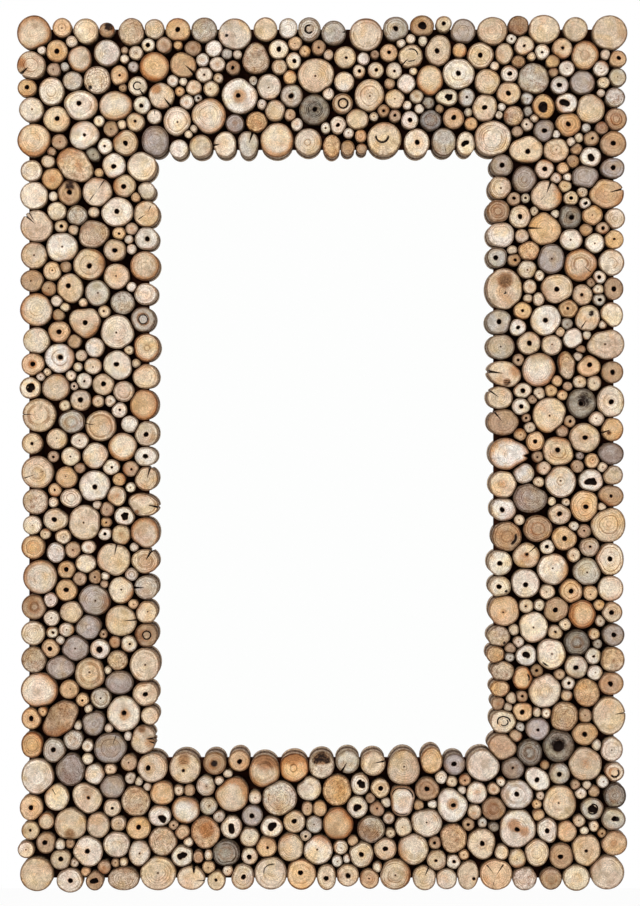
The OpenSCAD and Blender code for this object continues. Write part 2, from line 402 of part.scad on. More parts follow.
BOTTOM_FILL = [
    [-286, -359, 34, 38, "vm"], [-267, -347, 13, 13, "p."], [-259, -365, 24, 25, "c."],
    [-241, -359, 14, 14, "td"], [-220, -351, 19, 20, "bd"], [-218, -369, 13, 13, "td"],
    [-209, -373, 9, 10, "p."], [-302, -391, 28, 31, "pc"], [-268, -391, 36, 38, "to"],
    [-239, -378, 29, 30, "v."], [-239, -403, 20, 21, "to"], [-212, -395, 33, 37, "tm"],
    [-314, -418, 18, 20, "tr"], [-286, -422, 37, 38, "tw"], [-255, -423, 26, 30, "t."],
    [-232, -421, 18, 18, "td"], [-209, -426, 28, 27, "hO"], [-314, -443, 23, 25, "bO"],
    [-298, -445, 12, 12, "c."], [-287, -444, 11, 11, "bd"], [-267, -453, 35, 36, "cO"],
    [-234, -445, 31, 30, "p."], [-208, -455, 25, 30, "pd"], [-297, -462, 25, 24, "gO"],
    [-282, -466, 10, 10, "td"], [-248, -471, 15, 16, "bs"], [-235, -466, 10, 10, "bd"],
    [-226, -465, 10, 10, "t."], [-269, -476, 11, 10, "h."], [-182, -386, 29, 28, "cc"],
    [-199, -379, 9, 9, "p."], [-163, -383, 12, 12, "td"], [-151, -383, 13, 14, "b."],
    [-132, -378, 22, 24, "cd"], [-117, -372, 11, 10, "p."], [-107, -364, 11, 9, "p."],
    [-102, -387, 40, 41, "tr"], [-185, -412, 27, 24, "cH"], [-155, -405, 33, 32, "cr"],
    [-129, -401, 21, 21, "gd"], [-117, -413, 14, 14, "pd"], [-76, -391, 15, 16, "pd"],
    [-79, -412, 27, 24, "vO"], [-169, -423, 11, 11, "vo"], [-181, -441, 33, 34, "vm"],
    [-159, -431, 18, 17, "h."], [-133, -431, 34, 38, "hm"], [-103, -425, 25, 27, "cH"],
    [-82, -437, 23, 23, "pd"], [-152, -442, 11, 11, "p."], [-159, -458, 26, 25, "cH"],
    [-141, -459, 12, 15, "b."], [-129, -457, 9, 13, "p."], [-109, -455, 32, 31, "gT"],
    [-82, -458, 19, 20, "pO"], [-129, -471, 15, 15, "hd"], [-107, -475, 12, 12, "pd"],
    [-48, -392, 40, 41, "cm"], [-14, -381, 28, 28, "pw"], [18, -383, 33, 36, "hm"],
    [44, -376, 21, 26, "cH"], [67, -381, 22, 23, "tO"], [-2, -404, 16, 19, "h."],
    [-16, -404, 13, 17, "bd"], [41, -402, 24, 26, "cH"], [56, -392, 11, 12, "bs"],
    [74, -397, 13, 11, "p."], [64, -404, 18, 18, "bo"], [-31, -419, 25, 26, "tO"],
    [-8, -422, 19, 21, "gd"], [19, -421, 35, 38, "hr"], [57, -428, 32, 32, "gm"],
    [-57, -425, 26, 24, "cH"], [-18, -435, 13, 12, "cO"], [-63, -448, 24, 24, "ho"],
    [-35, -448, 30, 33, "t."], [-4, -451, 34, 35, "pd"], [36, -441, 12, 13, "h."],
    [22, -448, 16, 17, "pd"], [45, -456, 29, 31, "pO"], [18, -464, 12, 14, "cd"],
    [29, -461, 8, 11, "c."], [64, -471, 11, 12, "p."], [73, -450, 26, 26, "tO"],
    [92, -395, 33, 37, "cr"], [121, -382, 28, 28, "bO"], [137, -368, 14, 15, "cd"],
    [149, -373, 13, 13, "td"], [164, -371, 14, 14, "bo"], [161, -383, 10, 9, "p."],
    [177, -386, 25, 26, "cs"], [197, -381, 15, 14, "ps"], [205, -373, 10, 11, "cd"],
    [149, -399, 37, 41, "cS"], [111, -400, 12, 12, "b."], [127, -399, 11, 10, "c."],
    [175, -408, 16, 19, "ts"], [197, -404, 28, 27, "bT"], [77, -415, 13, 14, "ts"],
    [120, -419, 37, 36, "pd"], [94, -425, 20, 23, "pd"], [168, -422, 14, 15, "vO"],
    [184, -420, 10, 12, "gd"], [197, -425, 13, 11, "k."], [79, -432, 11, 12, "td"],
    [151, -438, 33, 34, "hm"], [183, -443, 34, 40, "tO"], [130, -443, 15, 15, "bO"],
    [105, -450, 35, 37, "p."], [132, -463, 23, 24, "to"], [151, -465, 17, 17, "cO"],
    [163, -457, 12, 13, "hd"], [206, -454, 16, 18, "t."], [219, -358, 26, 25, "vo"],
    [255, -354, 10, 11, "b."], [247, -370, 33, 24, "cO", -45], [272, -364, 24, 25, "gO"],
    [301, -353, 38, 40, "ts"], [290, -377, 11, 12, "bd"], [303, -377, 10, 10, "p."],
    [321, -373, 14, 15, "cd"], [311, -384, 13, 14, "b."], [296, -386, 14, 14, "cd"],
    [272, -397, 39, 41, "td"], [223, -388, 38, 35, "cO"], [250, -389, 9, 10, "td"],
    [246, -399, 11, 11, "hd"], [309, -404, 26, 26, "gH"], [224, -427, 43, 46, "cS"],
    [248, -411, 14, 14, "h."], [258, -428, 23, 32, "cO", 15], [280, -430, 23, 25, "h."],
    [294, -418, 14, 14, "td"], [311, -424, 11, 13, "td"], [300, -429, 10, 9, "c."],
    [320, -432, 10, 10, "bo"], [302, -451, 33, 39, "to"], [224, -461, 20, 23, "pd"],
    [246, -454, 28, 32, "t."], [274, -458, 28, 30, "bO"]
];

// Stretch from the set-out mirror to this one, in the opening and in the border, along X and Z
stretch_in = [open_x / set_open[0], open_z / set_open[1]];
stretch_out = [border_w / (set_out[0] - set_open[0]), border_w / (set_out[1] - set_open[1])];

// One coordinate of a set-out place, moved to this mirror
function spread(v, k) =
    let (over = abs(v) - set_open[k])
    sign(v) * (over < 0 ? abs(v) * stretch_in[k] : set_open[k] * stretch_in[k] + over * stretch_out[k]);
function stretch(v, k) = abs(v) < set_open[k] ? stretch_in[k] : stretch_out[k];

// A set-out slice moved and stretched to this mirror, as [x, z, width, height, look, turn]
function fitted(s) = [
    spread(s[0], 0), spread(s[1], 1),
    s[2] * stretch(s[0], 0) + slice_spare, s[3] * stretch(s[1], 1) + slice_spare,
    s[4], len(s) > 5 ? s[5] : 0
];
all_slices = [
    for (row = [
        TOP_OUTER, RIGHT_OUTER, BOTTOM_OUTER, LEFT_OUTER, TOP_INNER, RIGHT_INNER,
        BOTTOM_INNER, LEFT_INNER, TOP_FILL, RIGHT_FILL, BOTTOM_FILL, LEFT_FILL
    ]) for (s = row) fitted(s)
];
// Slices further apart than the widest one can't touch
reach = max([for (s = all_slices) max(s[2], s[3])]) + slice_gap;

// Distance from the middle of a slice to its edge in one direction
function edge_at(s, a) =
    let (u = a - s[5], p = s[2] / 2, q = s[3] / 2)
    p * q / norm([q * cos(u), p * sin(u)]);

// Lines that keep a slice off its neighbours, each as [direction, distance]
function limits(s) = [
    for (o = all_slices)
        let (d = norm([o[0] - s[0], o[1] - s[1]]))
        if (d > 0.1 && d < reach)
            let (a = atan2(o[1] - s[1], o[0] - s[0]), mine = edge_at(s, a), its = edge_at(o, a + 180))
            [a, (d - slice_gap) * mine / (mine + its)]
];
function tight_at(s, lines, a) = min([
    edge_at(s, a),
    for (l = lines) if (cos(a - l[0]) > 0.05) l[1] / cos(a - l[0])
]);
function is_round(s, r) =
    abs(s[2] - s[3]) < round_share * max(s[2], s[3]) && r > free_share * min(s[2], s[3]) / 2;
function facets(s) = max(least_facets, 2 * round(PI * max(s[2], s[3]) / facet_w / 2));
function hole_r(s) =
    let (kind = s[4][1])
    kind == "H" ? hollow_share * min(s[2], s[3]) / 2 :
    kind == "O" || kind == "S" ? min(pith_w, pith_most * min(s[2], s[3]) / 2) / 2 : 0;
// A length for each slice that looks uneven but is always the same
function cut_len(s) =
    let (v = abs(sin(s[0] * 17 + s[1] * 29)) * 10)
    slice_len - short_cut * (max(s[2], s[3]) > large_from ? 0.5 * pow(v - floor(v), 2) : v - floor(v));
function tone(s) = TONES[search(s[4][0], TONES)[0]][1];

module slice_body(s, lines) {
    l = cut_len(s);
    r = min([s[2] / 2, s[3] / 2, for (k = lines) k[1]]);
    h = hole_r(s);
    wear = min(rim_wear, wear_most * r);
    if (is_round(s, r)) {
        rotate_extrude() polygon(h > 0
            ? [[0, 0], [r, 0], [r, l - wear], [r - wear, l], [h, l], [h, l - pith_deep], [0, l - pith_deep]]
            : [[0, 0], [r, 0], [r, l - wear], [r - wear, l], [0, l]]);
    } else {
        difference() {
            linear_extrude(l) polygon([
                for (i = [1 : facets(s)])
                    let (a = 360 * i / facets(s))
                    tight_at(s, lines, a) * [cos(a), sin(a)]
            ]);
            if (h > 0) translate([0, 0, l - pith_deep]) cylinder(pith_deep + past, r = h);
        }
    }
}

// The slices of one row or patch whose larger width is in the given span
module slices(row, least = 0, under = 1000) {
    for (t = row) {
        s = fitted(t);
        if (max(t[2], t[3]) >= least && max(t[2], t[3]) < under)
            color(tone(s)) translate([s[0], board_y, s[1]]) rotate([90, 0, 0])
                slice_body(s, limits(s));
    }
}

// A block from one corner to the other
module block(a, b) {
    translate([min(a[0], b[0]), min(a[1], b[1]), min(a[2], b[2])])
        cube([abs(b[0] - a[0]), abs(b[1] - a[1]), abs(b[2] - a[2])]);
}

// Screw places, as [x, z]
corner_share = 0.25;
corner_spots = [
    for (i = [-1, 1]) for (k = [-1, 1]) for (f = [corner_share, 1 - corner_share])
        [i * (sight_x + board_w * f), k * (sight_z + rail_w * (1 - f))]
];
button_x = rebate_x + button_off;
button_z = rebate_z + button_off;
// Each is [x, z, direction of the long end at rest]
side_shares = [0.66, 0, -0.66];
end_shares = [-0.5, 0.5];
button_spots = [
    for (i = [-1, 1]) for (f = side_shares) [i * button_x, f * sight_z, i < 0 ? 0 : 180],
    for (k = [1, -1]) for (f = end_shares) [f * sight_x, k * button_z, -90 * k]
];
hanger_x = sight_x + board_w / 2;
hanger_z = frame_h / 2 - hanger_drop;
// One strap screw sits inside the ring at rest, the other half way from the ring to the strap's end
ring_inner_end = wire_d / 2 + ring_h;
upper_hole = ring_inner_end - ring_screw_gap - head_d / 2;
lower_hole = (ring_inner_end + wire_d + strap_l) / 2;
hanger_spots = [
    for (i = [-1, 1]) for (down = [upper_hole, lower_hole]) [i * hanger_x, hanger_z - down]
];

// Cross recess of a screw head
recess_w = head_d * 0.52;
slot_w = 0.9;
recess_deep = head_h * 0.55;

// A pan-head screw of length l that points to -Y, with its seat at y
module screw(spot, y, l) {
    translate([spot[0], y, spot[1]]) rotate([-90, 0, 0]) difference() {
        union() {
            cylinder(head_h, d = head_d);
            translate([0, 0, -l]) cylinder(l + head_h / 2, d = shank_d);
        }
        for (a = [0, 90]) rotate(a) translate([-recess_w / 2, -slot_w / 2, head_h - recess_deep])
            cube([recess_w, slot_w, head_h]);
    }
}
// Holes for screws whose seat is at y, a little deeper than the screws
module screw_holes(spots, y, l) {
    for (s = spots) translate([s[0], y + past, s[1]]) rotate([90, 0, 0])
        cylinder(past + l + tip_room, d = shank_d + 2 * screw_gap);
}
// The heads of the corner screws are sunk into the back of the boards
sink = head_h + 0.2;
head_room = 0.5;
corner_seat = back_y - sink;
corner_l = board_t - sink - tip_cover;
button_seat = back_y + button_t + 2 * button_gap;
strap_seat = back_y + strap_t;
module all_holes() {
    screw_holes(corner_spots, corner_seat, corner_l);
    for (s = corner_spots) translate([s[0], back_y + past, s[1]]) rotate([90, 0, 0])
        cylinder(past + sink, d = head_d + 2 * head_room);
    screw_holes(button_spots, button_seat, screw_l);
    screw_holes(hanger_spots, strap_seat, screw_l);
}

// Upright board: its corners keep the back half of the thickness
module stile(i) {
    color("saddlebrown") difference() {
        block([i * sight_x, board_y, -board_z], [i * board_x, back_y, board_z]);
        for (k = [-1, 1]) block([i * (sight_x - past), board_y - past, k * (sight_z - lap_gap)],
            [i * (board_x + past), lap_y, k * (board_z + past)]);
        block([-rebate_x, back_y - rebate_deep, -rebate_z], [rebate_x, back_y + past, rebate_z]);
        all_holes();
    }
}
// Level board: its corners keep the front half of the thickness
module rail(k) {
    color("saddlebrown") difference() {
        block([-board_x, board_y, k * sight_z], [board_x, back_y, k * board_z]);
        for (i = [-1, 1]) block([i * (sight_x - lap_gap), lap_y, k * (sight_z - past)],
            [i * (board_x + past), back_y + past, k * (board_z + past)]);
        block([-rebate_x, back_y - rebate_deep, -rebate_z], [rebate_x, back_y + past, rebate_z]);
        all_holes();
    }
}
module pane(front, thick) {
    block([-pane_x, front, -pane_z], [pane_x, front + thick, pane_z]);
}
module mirror_glass() { color("aliceblue") pane(back_y - rebate_deep, glass_t); }
module packing_sheet() { color("whitesmoke") pane(back_y - panel_t - packing_t, packing_t); }
module back_panel() { color("sienna") pane(back_y - panel_t, panel_t); }
module corner_screws() {
    color("silver") for (s = corner_spots) screw(s, corner_seat, corner_l);
}

// A flat plate with one round end over its screw and one over the panel
module turn_button(spot) {
    r = button_w / 2;
    color("goldenrod") translate([spot[0], back_y + button_gap, spot[1]]) rotate([0, -spot[2], 0])
        rotate([-90, 0, 0]) difference() {
            union() {
                cylinder(button_t, r = r);
                translate([button_l - button_w, 0, 0]) cylinder(button_t, r = r);
                translate([0, -r, 0]) cube([button_l - button_w, button_w, button_t]);
            }
            translate([0, 0, -past]) cylinder(button_t + 2 * past, d = shank_d + 2 * screw_gap);
        }
}
module button_screws() {
    color("silver") for (s = button_spots) screw(s, button_seat, screw_l);
}

// The strap of a hanger, with its upper end rolled round the ring's straight side
eye_r = wire_d / 2 + eye_gap;
eye_y = back_y + eye_r + strap_t;
module hanger_strap(i) {
    color("silver") difference() {
        union() {
            block([i * hanger_x - strap_w / 2, back_y, hanger_z - strap_l],
                [i * hanger_x + strap_w / 2, strap_seat, hanger_z - strap_t]);
            translate([i * hanger_x - strap_w / 2, eye_y, hanger_z]) rotate([0, 90, 0])
                cylinder(strap_w, r = eye_r + strap_t);
        }
        translate([i * hanger_x - strap_w, eye_y, hanger_z]) rotate([0, 90, 0])
            cylinder(2 * strap_w, r = eye_r);
        screw_holes(hanger_spots, strap_seat, screw_l);
    }
}
module hanger_screws() {
    color("silver") for (s = hanger_spots) screw(s, strap_seat, screw_l);
}

// A D-shaped ring that hangs down over its strap at rest
corner_r = wire_d;
bow_r = ring_w / 2 + wire_d / 2;
ring_rise = ring_h - ring_w / 2 + wire_d / 2;
module bent_wire(bend_r, sweep) {
    rotate_extrude(angle = sweep) translate([bend_r, 0]) circle(d = wire_d);
}
module hanger_ring(i) {
    color("silver") translate([i * hanger_x, eye_y, hanger_z]) rotate([-90, 0, 0]) {
        translate([-bow_r + corner_r, 0, 0]) rotate([0, 90, 0])
            cylinder(2 * (bow_r - corner_r), d = wire_d);
        for (m = [0, 1]) mirror([m, 0, 0]) {
            translate([bow_r - corner_r, corner_r, 0]) rotate(-90) bent_wire(corner_r, 90);
            translate([bow_r, corner_r, 0]) rotate([-90, 0, 0])
                cylinder(ring_rise - corner_r, d = wire_d);
        }
        translate([0, ring_rise, 0]) bent_wire(bow_r, 180);
    }
}

module wall_pads() {
    color("black") for (i = [-1, 1]) for (k = [-1, 1])
        translate([i * (board_x - pad_in), back_y, k * (board_z - pad_in)]) rotate([-90, 0, 0])
            cylinder(pad_t, d = pad_d);
}

stile(-1);  // left_stile
stile(1);  // right_stile
rail(1);  // top_rail
rail(-1);  // bottom_rail
corner_screws();
mirror_glass();
packing_sheet();
back_panel();
slices(TOP_OUTER);  // top_outer_row
slices(RIGHT_OUTER);  // right_outer_row
slices(BOTTOM_OUTER);  // bottom_outer_row
slices(LEFT_OUTER);  // left_outer_row
slices(TOP_INNER);  // top_inner_row
slices(RIGHT_INNER);  // right_inner_row
slices(BOTTOM_INNER);  // bottom_inner_row
slices(LEFT_INNER);  // left_inner_row
slices(TOP_FILL, large_from);  // top_large_infill
slices(RIGHT_FILL, large_from);  // right_large_infill
slices(BOTTOM_FILL, large_from);  // bottom_large_infill
slices(LEFT_FILL, large_from);  // left_large_infill
slices(TOP_FILL, small_under, large_from);  // top_medium_infill
slices(RIGHT_FILL, small_under, large_from);  // right_medium_infill
slices(BOTTOM_FILL, small_under, large_from);  // bottom_medium_infill
slices(LEFT_FILL, small_under, large_from);  // left_medium_infill
slices(TOP_FILL, 0, small_under);  // top_small_infill
slices(RIGHT_FILL, 0, small_under);  // right_small_infill
slices(BOTTOM_FILL, 0, small_under);  // bottom_small_infill
slices(LEFT_FILL, 0, small_under);  // left_small_infill
turn_button(button_spots[0]);  // left_upper_button
turn_button(button_spots[1]);  // left_middle_button
turn_button(button_spots[2]);  // left_lower_button
turn_button(button_spots[3]);  // right_upper_button
turn_button(button_spots[4]);  // right_middle_button
turn_button(button_spots[5]);  // right_lower_button
turn_button(button_spots[6]);  // top_left_button
turn_button(button_spots[7]);  // top_right_button
turn_button(button_spots[8]);  // bottom_left_button
turn_button(button_spots[9]);  // bottom_right_button
button_screws();
hanger_strap(-1);  // left_hanger_strap
hanger_strap(1);  // right_hanger_strap
hanger_ring(-1);  // left_hanger_ring
hanger_ring(1);  // right_hanger_ring
hanger_screws();
wall_pads();
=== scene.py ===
"""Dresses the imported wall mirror: driftwood slices, mirror glass, boards and fittings."""

import math

import bpy
import numpy as np
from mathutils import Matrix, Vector


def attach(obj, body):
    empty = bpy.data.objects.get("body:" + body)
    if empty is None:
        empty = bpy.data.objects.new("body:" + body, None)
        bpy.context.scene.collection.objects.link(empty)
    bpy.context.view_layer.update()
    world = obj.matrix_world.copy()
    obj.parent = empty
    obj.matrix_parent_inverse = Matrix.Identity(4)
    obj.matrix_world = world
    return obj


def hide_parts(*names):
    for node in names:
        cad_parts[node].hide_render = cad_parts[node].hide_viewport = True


MM = 0.001

# Where each slice stands, as (x, z) in whole millimetres, under the look of its face.
# The first letter is the tone of the wood, and the second is what its face shows:
# . nothing, d a dot, o a small hole, O a hole, H a hollow, S a hole and stains,
# c a thin crack, w a wide crack, m mottling, s a stained middle, r a dark rim,
# T strong rings, B a knot.
LOOKS = {
    "c.": [(-38, 485), (-163, 347), (-319, 460), (-225, 450), (-123, 462), (-158, 424), (-152, 364),
     (48, 450), (26, 424), (116, 471), (97, 422), (98, 397), (206, 395), (268, 364), (287, 132), (231, -22),
     (263, -54), (-259, -365), (-298, -445), (29, -461), (127, -399), (300, -429), (-306, 293), (-217, 190),
     (-259, 121), (-278, 99), (-219, 34), (-303, -112), (-217, -137)],
    "cH": [(-198, 466), (143, 406), (280, 399), (307, 338), (301, 285), (308, -30), (234, -229),
     (-185, -412), (-103, -425), (-159, -458), (44, -376), (41, -402), (-57, -425), (-225, -71),
     (-253, -222)],
    "cO": [(330, 59), (208, -63), (204, -124), (204, -151), (-200, 245), (-201, -3), (-275, 397),
     (-205, 397), (-32, 448), (19, 374), (157, 433), (101, 380), (215, 433), (272, 420), (317, 201),
     (257, 152), (224, 144), (228, 54), (-267, -453), (-18, -435), (151, -465), (247, -370), (223, -388),
     (258, -428), (-237, 328), (-233, 275), (-299, 109), (-232, 101), (-282, 77), (-259, -37), (-247, -91),
     (-307, -203)],
    "cS": [(-93, 408), (149, -399), (224, -427), (-226, -296)],
    "cd": [(-330, -81), (-254, 379), (31, 365), (280, 439), (319, 439), (285, 244), (312, 240), (249, 203),
     (316, 187), (279, -55), (288, -82), (312, -249), (-132, -378), (18, -464), (137, -368), (205, -373),
     (321, -373), (296, -386), (-296, 235), (-220, 118), (-286, 89), (-241, 60), (-218, -38)],
    "cm": [(-48, -392)],
    "co": [(-271, 362), (-247, 350), (5, 371), (217, 473), (252, 458), (310, -230), (-271, 83), (-240, -15),
     (-220, -216)],
    "cr": [(215, 0), (-155, -405), (92, -395)],
    "cs": [(-136, 449), (-154, 401), (-28, 375), (177, -386), (-266, -106)],
    "p.": [(-269, 482), (-191, 484), (331, 218), (331, 158), (330, -153), (143, -484), (291, -483),
     (-328, 294), (-324, -367), (-138, 350), (-15, 355), (196, 359), (205, 249), (185, -354), (-205, 327),
     (-200, 299), (-285, 470), (-245, 457), (-308, 413), (-228, 375), (-96, 455), (91, 468), (102, 473),
     (105, 436), (198, 442), (112, 393), (203, 386), (324, 455), (319, 411), (243, 382), (294, 360),
     (285, 355), (281, 315), (267, 273), (236, 177), (248, 176), (321, 147), (303, 135), (293, 111),
     (320, -60), (255, -269), (213, -288), (314, -331), (-267, -347), (-209, -373), (-234, -445),
     (-199, -379), (-117, -372), (-107, -364), (-152, -442), (-129, -457), (74, -397), (64, -471),
     (161, -383), (105, -450), (303, -377), (-302, 276), (-260, 275), (-220, 244), (-217, 233), (-293, 167),
     (-258, -2), (-306, -55), (-286, -50), (-214, -106), (-269, -125), (-247, -139), (-298, -212),
     (-244, -246), (-266, -290), (-278, -309), (-243, -312), (-221, -321), (-272, 172), (-331, 322),
     (-325, 129), (-329, -204), (-201, 182)],
    "pH": [(165, 353), (-332, 75)],
    "pO": [(140, 490), (329, -120), (-90, -482), (6, -482), (109, 354), (-200, 23), (-49, 461), (62, 437),
     (230, 72), (258, -106), (233, -147), (291, -242), (282, -261), (-82, -458), (45, -456), (-303, -75),
     (-287, -486), (227, 270)],
    "pc": [(-99, 478), (-110, 352), (-191, 384), (8, 410), (-302, -391)],
    "pd": [(331, -336), (-331, 392), (-337, -451), (-126, 416), (-68, 398), (-165, 379), (60, 384),
     (322, 423), (268, 314), (235, 210), (273, -31), (264, -131), (249, -172), (242, -197), (278, -194),
     (225, -214), (262, -227), (257, -295), (-208, -455), (-117, -413), (-76, -391), (-82, -437),
     (-107, -475), (-4, -451), (22, -448), (120, -419), (94, -425), (224, -461), (-233, 139), (-320, 88),
     (-293, 55), (-276, 15), (-286, -3), (-229, -155), (-309, -166), (-308, -187), (-291, -200), (-313, 93),
     (-60, 418)],
    "pm": [(0, -354), (232, -484), (-256, 426)],
    "po": [(-134, 432), (83, 436), (235, 375), (-231, 50)],
    "pr": [(-325, 164), (-321, -140), (-322, -269), (-51, 357), (-235, 396), (-129, 385), (248, 96),
     (-227, 8)],
    "ps": [(-119, 444), (-170, 425), (109, 407), (197, -381), (-234, -48), (-267, -332)],
    "pw": [(208, -304), (-210, 419), (-14, -381)],
    "t.": [(-64, 484), (51, 478), (196, 482), (254, 484), (290, 484), (335, 268), (332, -24), (327, -80),
     (-325, -479), (326, -477), (-196, -298), (-146, 370), (8, 455), (-53, 391), (41, 381), (209, 456),
     (190, 424), (240, 453), (307, 393), (218, 232), (273, 139), (220, -200), (280, -275), (217, -278),
     (246, -294), (-255, -423), (-226, -465), (-35, -448), (206, -454), (246, -454), (-312, 333),
     (-283, 255), (-302, 174), (-212, 103), (-303, 76), (-226, 71), (-256, -58), (-285, -180), (-201, 88)],
    "tB": [(209, 188)],
    "tO": [(331, -180), (30, -480), (-193, -357), (-224, 354), (43, 436), (134, 460), (187, 394),
     (214, 411), (234, 347), (255, 324), (285, 291), (269, 188), (237, 126), (300, 18), (270, 3),
     (272, -68), (67, -381), (-31, -419), (73, -450), (183, -443), (-225, 305), (-297, 259), (-265, 216),
     (-236, 232), (-287, 188), (-270, 150), (-249, 79), (-275, 61), (182, 454), (-297, -462), (-302, 381),
     (-201, -273)],
    "tT": [(334, -362), (24, 399)],
    "tc": [(329, 480), (328, -298), (-322, 44), (-324, -21), (204, 64), (-200, 273), (-252, 32)],
    "td": [(323, 125), (-187, -478), (84, -479), (204, 303), (94, -357), (-200, -180), (-202, -240),
     (-212, 457), (-118, 428), (-6, 431), (55, 408), (84, 404), (268, 346), (278, 305), (298, 298),
     (243, 276), (263, 124), (295, 82), (311, 81), (249, 69), (261, 44), (314, 40), (238, 30), (254, -16),
     (321, -15), (248, -32), (226, -75), (288, -115), (258, -157), (318, -190), (311, -205), (-241, -359),
     (-218, -369), (-232, -421), (-282, -466), (-163, -383), (149, -373), (79, -432), (272, -397),
     (250, -389), (294, -418), (311, -424), (-307, 208), (-234, 202), (-274, 112), (-261, 100), (-255, 60),
     (-302, 17), (-270, -78), (-315, -91), (-295, -94), (-264, -250), (-328, 226)],
    "tm": [(332, -234), (-226, -484), (203, -208), (207, -247), (-75, 450), (220, 385), (280, 101),
     (277, -299), (-212, -395), (-261, 250), (-233, -235), (-281, 329), (-217, 481), (-326, -54),
     (-328, -234), (-181, -441)],
    "to": [(234, -116), (-120, -486), (167, -479), (-330, 12), (-332, -429), (-156, -357), (-213, 378),
     (27, 452), (232, 465), (275, 462), (298, 181), (306, -106), (234, -173), (267, -203), (-268, -391),
     (-239, -403), (132, -463), (302, -451), (-248, 162)],
    "tr": [(-328, 480), (-328, 357), (-65, -361), (-202, 214), (-200, 121), (-202, -90), (-276, 450),
     (124, 425), (301, 454), (296, 215), (-314, -418), (-102, -387)],
    "ts": [(208, -35), (-146, 417), (-48, 441), (229, 248), (238, 190), (175, -408), (77, -415),
     (301, -353), (-217, 256), (-229, -92)],
    "tw": [(-200, -28), (-149, -483), (-58, -478), (118, -483), (-331, 443), (-325, 259), (72, 358),
     (210, 91), (59, -352), (-204, -58), (-202, -122), (-204, -325), (-183, 408), (102, 453), (257, 294),
     (304, 154), (-286, -422), (-256, 298), (-237, -120), (-229, -190)],
    "h.": [(-182, -386), (126, -349), (-164, 466), (-36, 429), (45, 362), (158, 460), (264, 447),
     (276, 325), (269, 83), (-269, -476), (-159, -431), (-2, -404), (36, -441), (248, -411), (280, -430),
     (-254, 320), (-212, 292)],
    "hH": [(253, 395)],
    "hO": [(-164, 483), (338, 450), (-23, -479), (-336, 417), (-329, 102), (-331, -403), (-94, -349),
     (-302, 459), (77, 457), (151, 382), (282, 375), (305, 99), (244, 14), (301, -59), (277, -96),
     (285, -156), (230, -293), (301, -318), (-209, -426), (-299, 139), (-291, -132), (-291, -155),
     (-309, -221), (-331, -301)],
    "hT": [(-329, -106)],
    "hd": [(-296, 486), (55, -484), (209, -178), (-162, 413), (-30, 468), (-19, 459), (171, 376),
     (309, 272), (262, 72), (275, 67), (227, 22), (309, -8), (307, -158), (-129, -471), (163, -457),
     (246, -399), (-291, -27), (-231, -29), (-215, -171), (-288, -268), (-318, -293), (317, -172)],
    "hm": [(12, 350), (199, -228), (204, -267), (-74, 378), (237, 231), (303, -271), (-133, -431),
     (18, -383), (151, -438)],
    "ho": [(334, 244), (-231, 431), (230, 163), (282, 165), (-63, -448), (-231, 251), (-304, -41),
     (-273, -280)],
    "hr": [(-330, -331), (-31, -357), (-203, 56), (-191, 441), (297, -182), (230, -255), (19, -421)],
    "hs": [(334, -443), (-307, 313)],
    "hw": [(255, 257), (332, 28), (200, -479)],
    "g.": [(-293, 441), (-284, 425), (-108, 456), (168, 389), (302, 371)],
    "gH": [(309, -404)],
    "gO": [(333, -416), (201, 224), (203, 150), (-141, 405), (-34, 408), (233, 291), (317, 176),
     (272, -364), (-305, -337), (85, 484)],
    "gT": [(-204, 153), (-285, 37)],
    "gc": [(14, 480), (140, 355)],
    "gd": [(338, 429), (205, 122), (-215, 441), (-78, 425), (235, 405), (280, 148), (303, -134),
     (215, -231), (315, -216), (227, -311), (-129, -401), (-8, -422), (184, -420), (-256, 183),
     (-252, -278)],
    "gm": [(335, 406), (242, 427), (57, -428), (-283, -325), (-279, 271), (-227, 172), (-134, 483)],
    "go": [(166, 406)],
    "gw": [(-14, 484), (-84, 352), (30, -350), (-200, -152)],
    "v.": [(162, 482), (330, 0), (-190, 356), (298, 423), (232, 312), (301, 315), (-239, -378),
     (-266, -197), (-298, -243), (-231, -260), (-260, -306)],
    "vO": [(332, 325), (152, -353), (255, 368), (-79, -412), (333, -206), (206, 328)],
    "vc": [(-241, -335)],
    "vd": [(262, 222), (295, -2), (-259, -166), (-281, -221)],
    "vm": [(238, -50), (-286, -359)],
    "vo": [(247, -313), (219, -358)],
    "vs": [(-99, 376)],
    "b.": [(30, 348), (46, 347), (-225, 460), (78, 422), (135, 393), (265, 435), (224, 367), (302, 255),
     (296, 119), (281, 77), (275, 26), (216, -221), (222, -320), (-151, -383), (-141, -459), (111, -400),
     (255, -354), (311, -384), (-292, 213), (-300, 158), (-282, 128), (-276, -16), (-248, -148),
     (207, -333)],
    "bH": [(115, 487), (-259, -486)],
    "bO": [(333, 353), (333, 188), (332, 93), (-101, 440), (71, 391), (84, 385), (220, 290), (321, 257),
     (220, 221), (225, 107), (234, 41), (283, 37), (268, -177), (246, -247), (229, -276), (-314, -443),
     (121, -382), (130, -443), (274, -458), (-288, 297), (168, -422), (-306, -3), (330, -261)],
    "bT": [(336, 381), (262, -484), (-328, -174), (202, 276), (-122, -352), (-200, -206), (247, -85),
     (197, -404)],
    "bc": [(208, 36)],
    "bd": [(-330, 197), (-227, 417), (-299, 355), (61, 455), (-36, 386), (287, 333), (308, 195), (241, 62),
     (292, -14), (272, -251), (301, -298), (-220, -351), (-287, -444), (-235, -466), (-16, -404),
     (290, -377), (-311, 188), (-245, -63), (-284, -109), (-276, -142), (-240, 370), (-305, 438)],
    "bm": [(225, 488), (-308, 344), (225, 447), (291, 347), (-297, -302)],
    "bo": [(330, -48), (308, 359), (247, -3), (64, -404), (164, -371), (320, -432), (-218, -17),
     (-246, -78), (-258, -140), (-3, 463), (300, -88), (-169, -423), (-249, -205)],
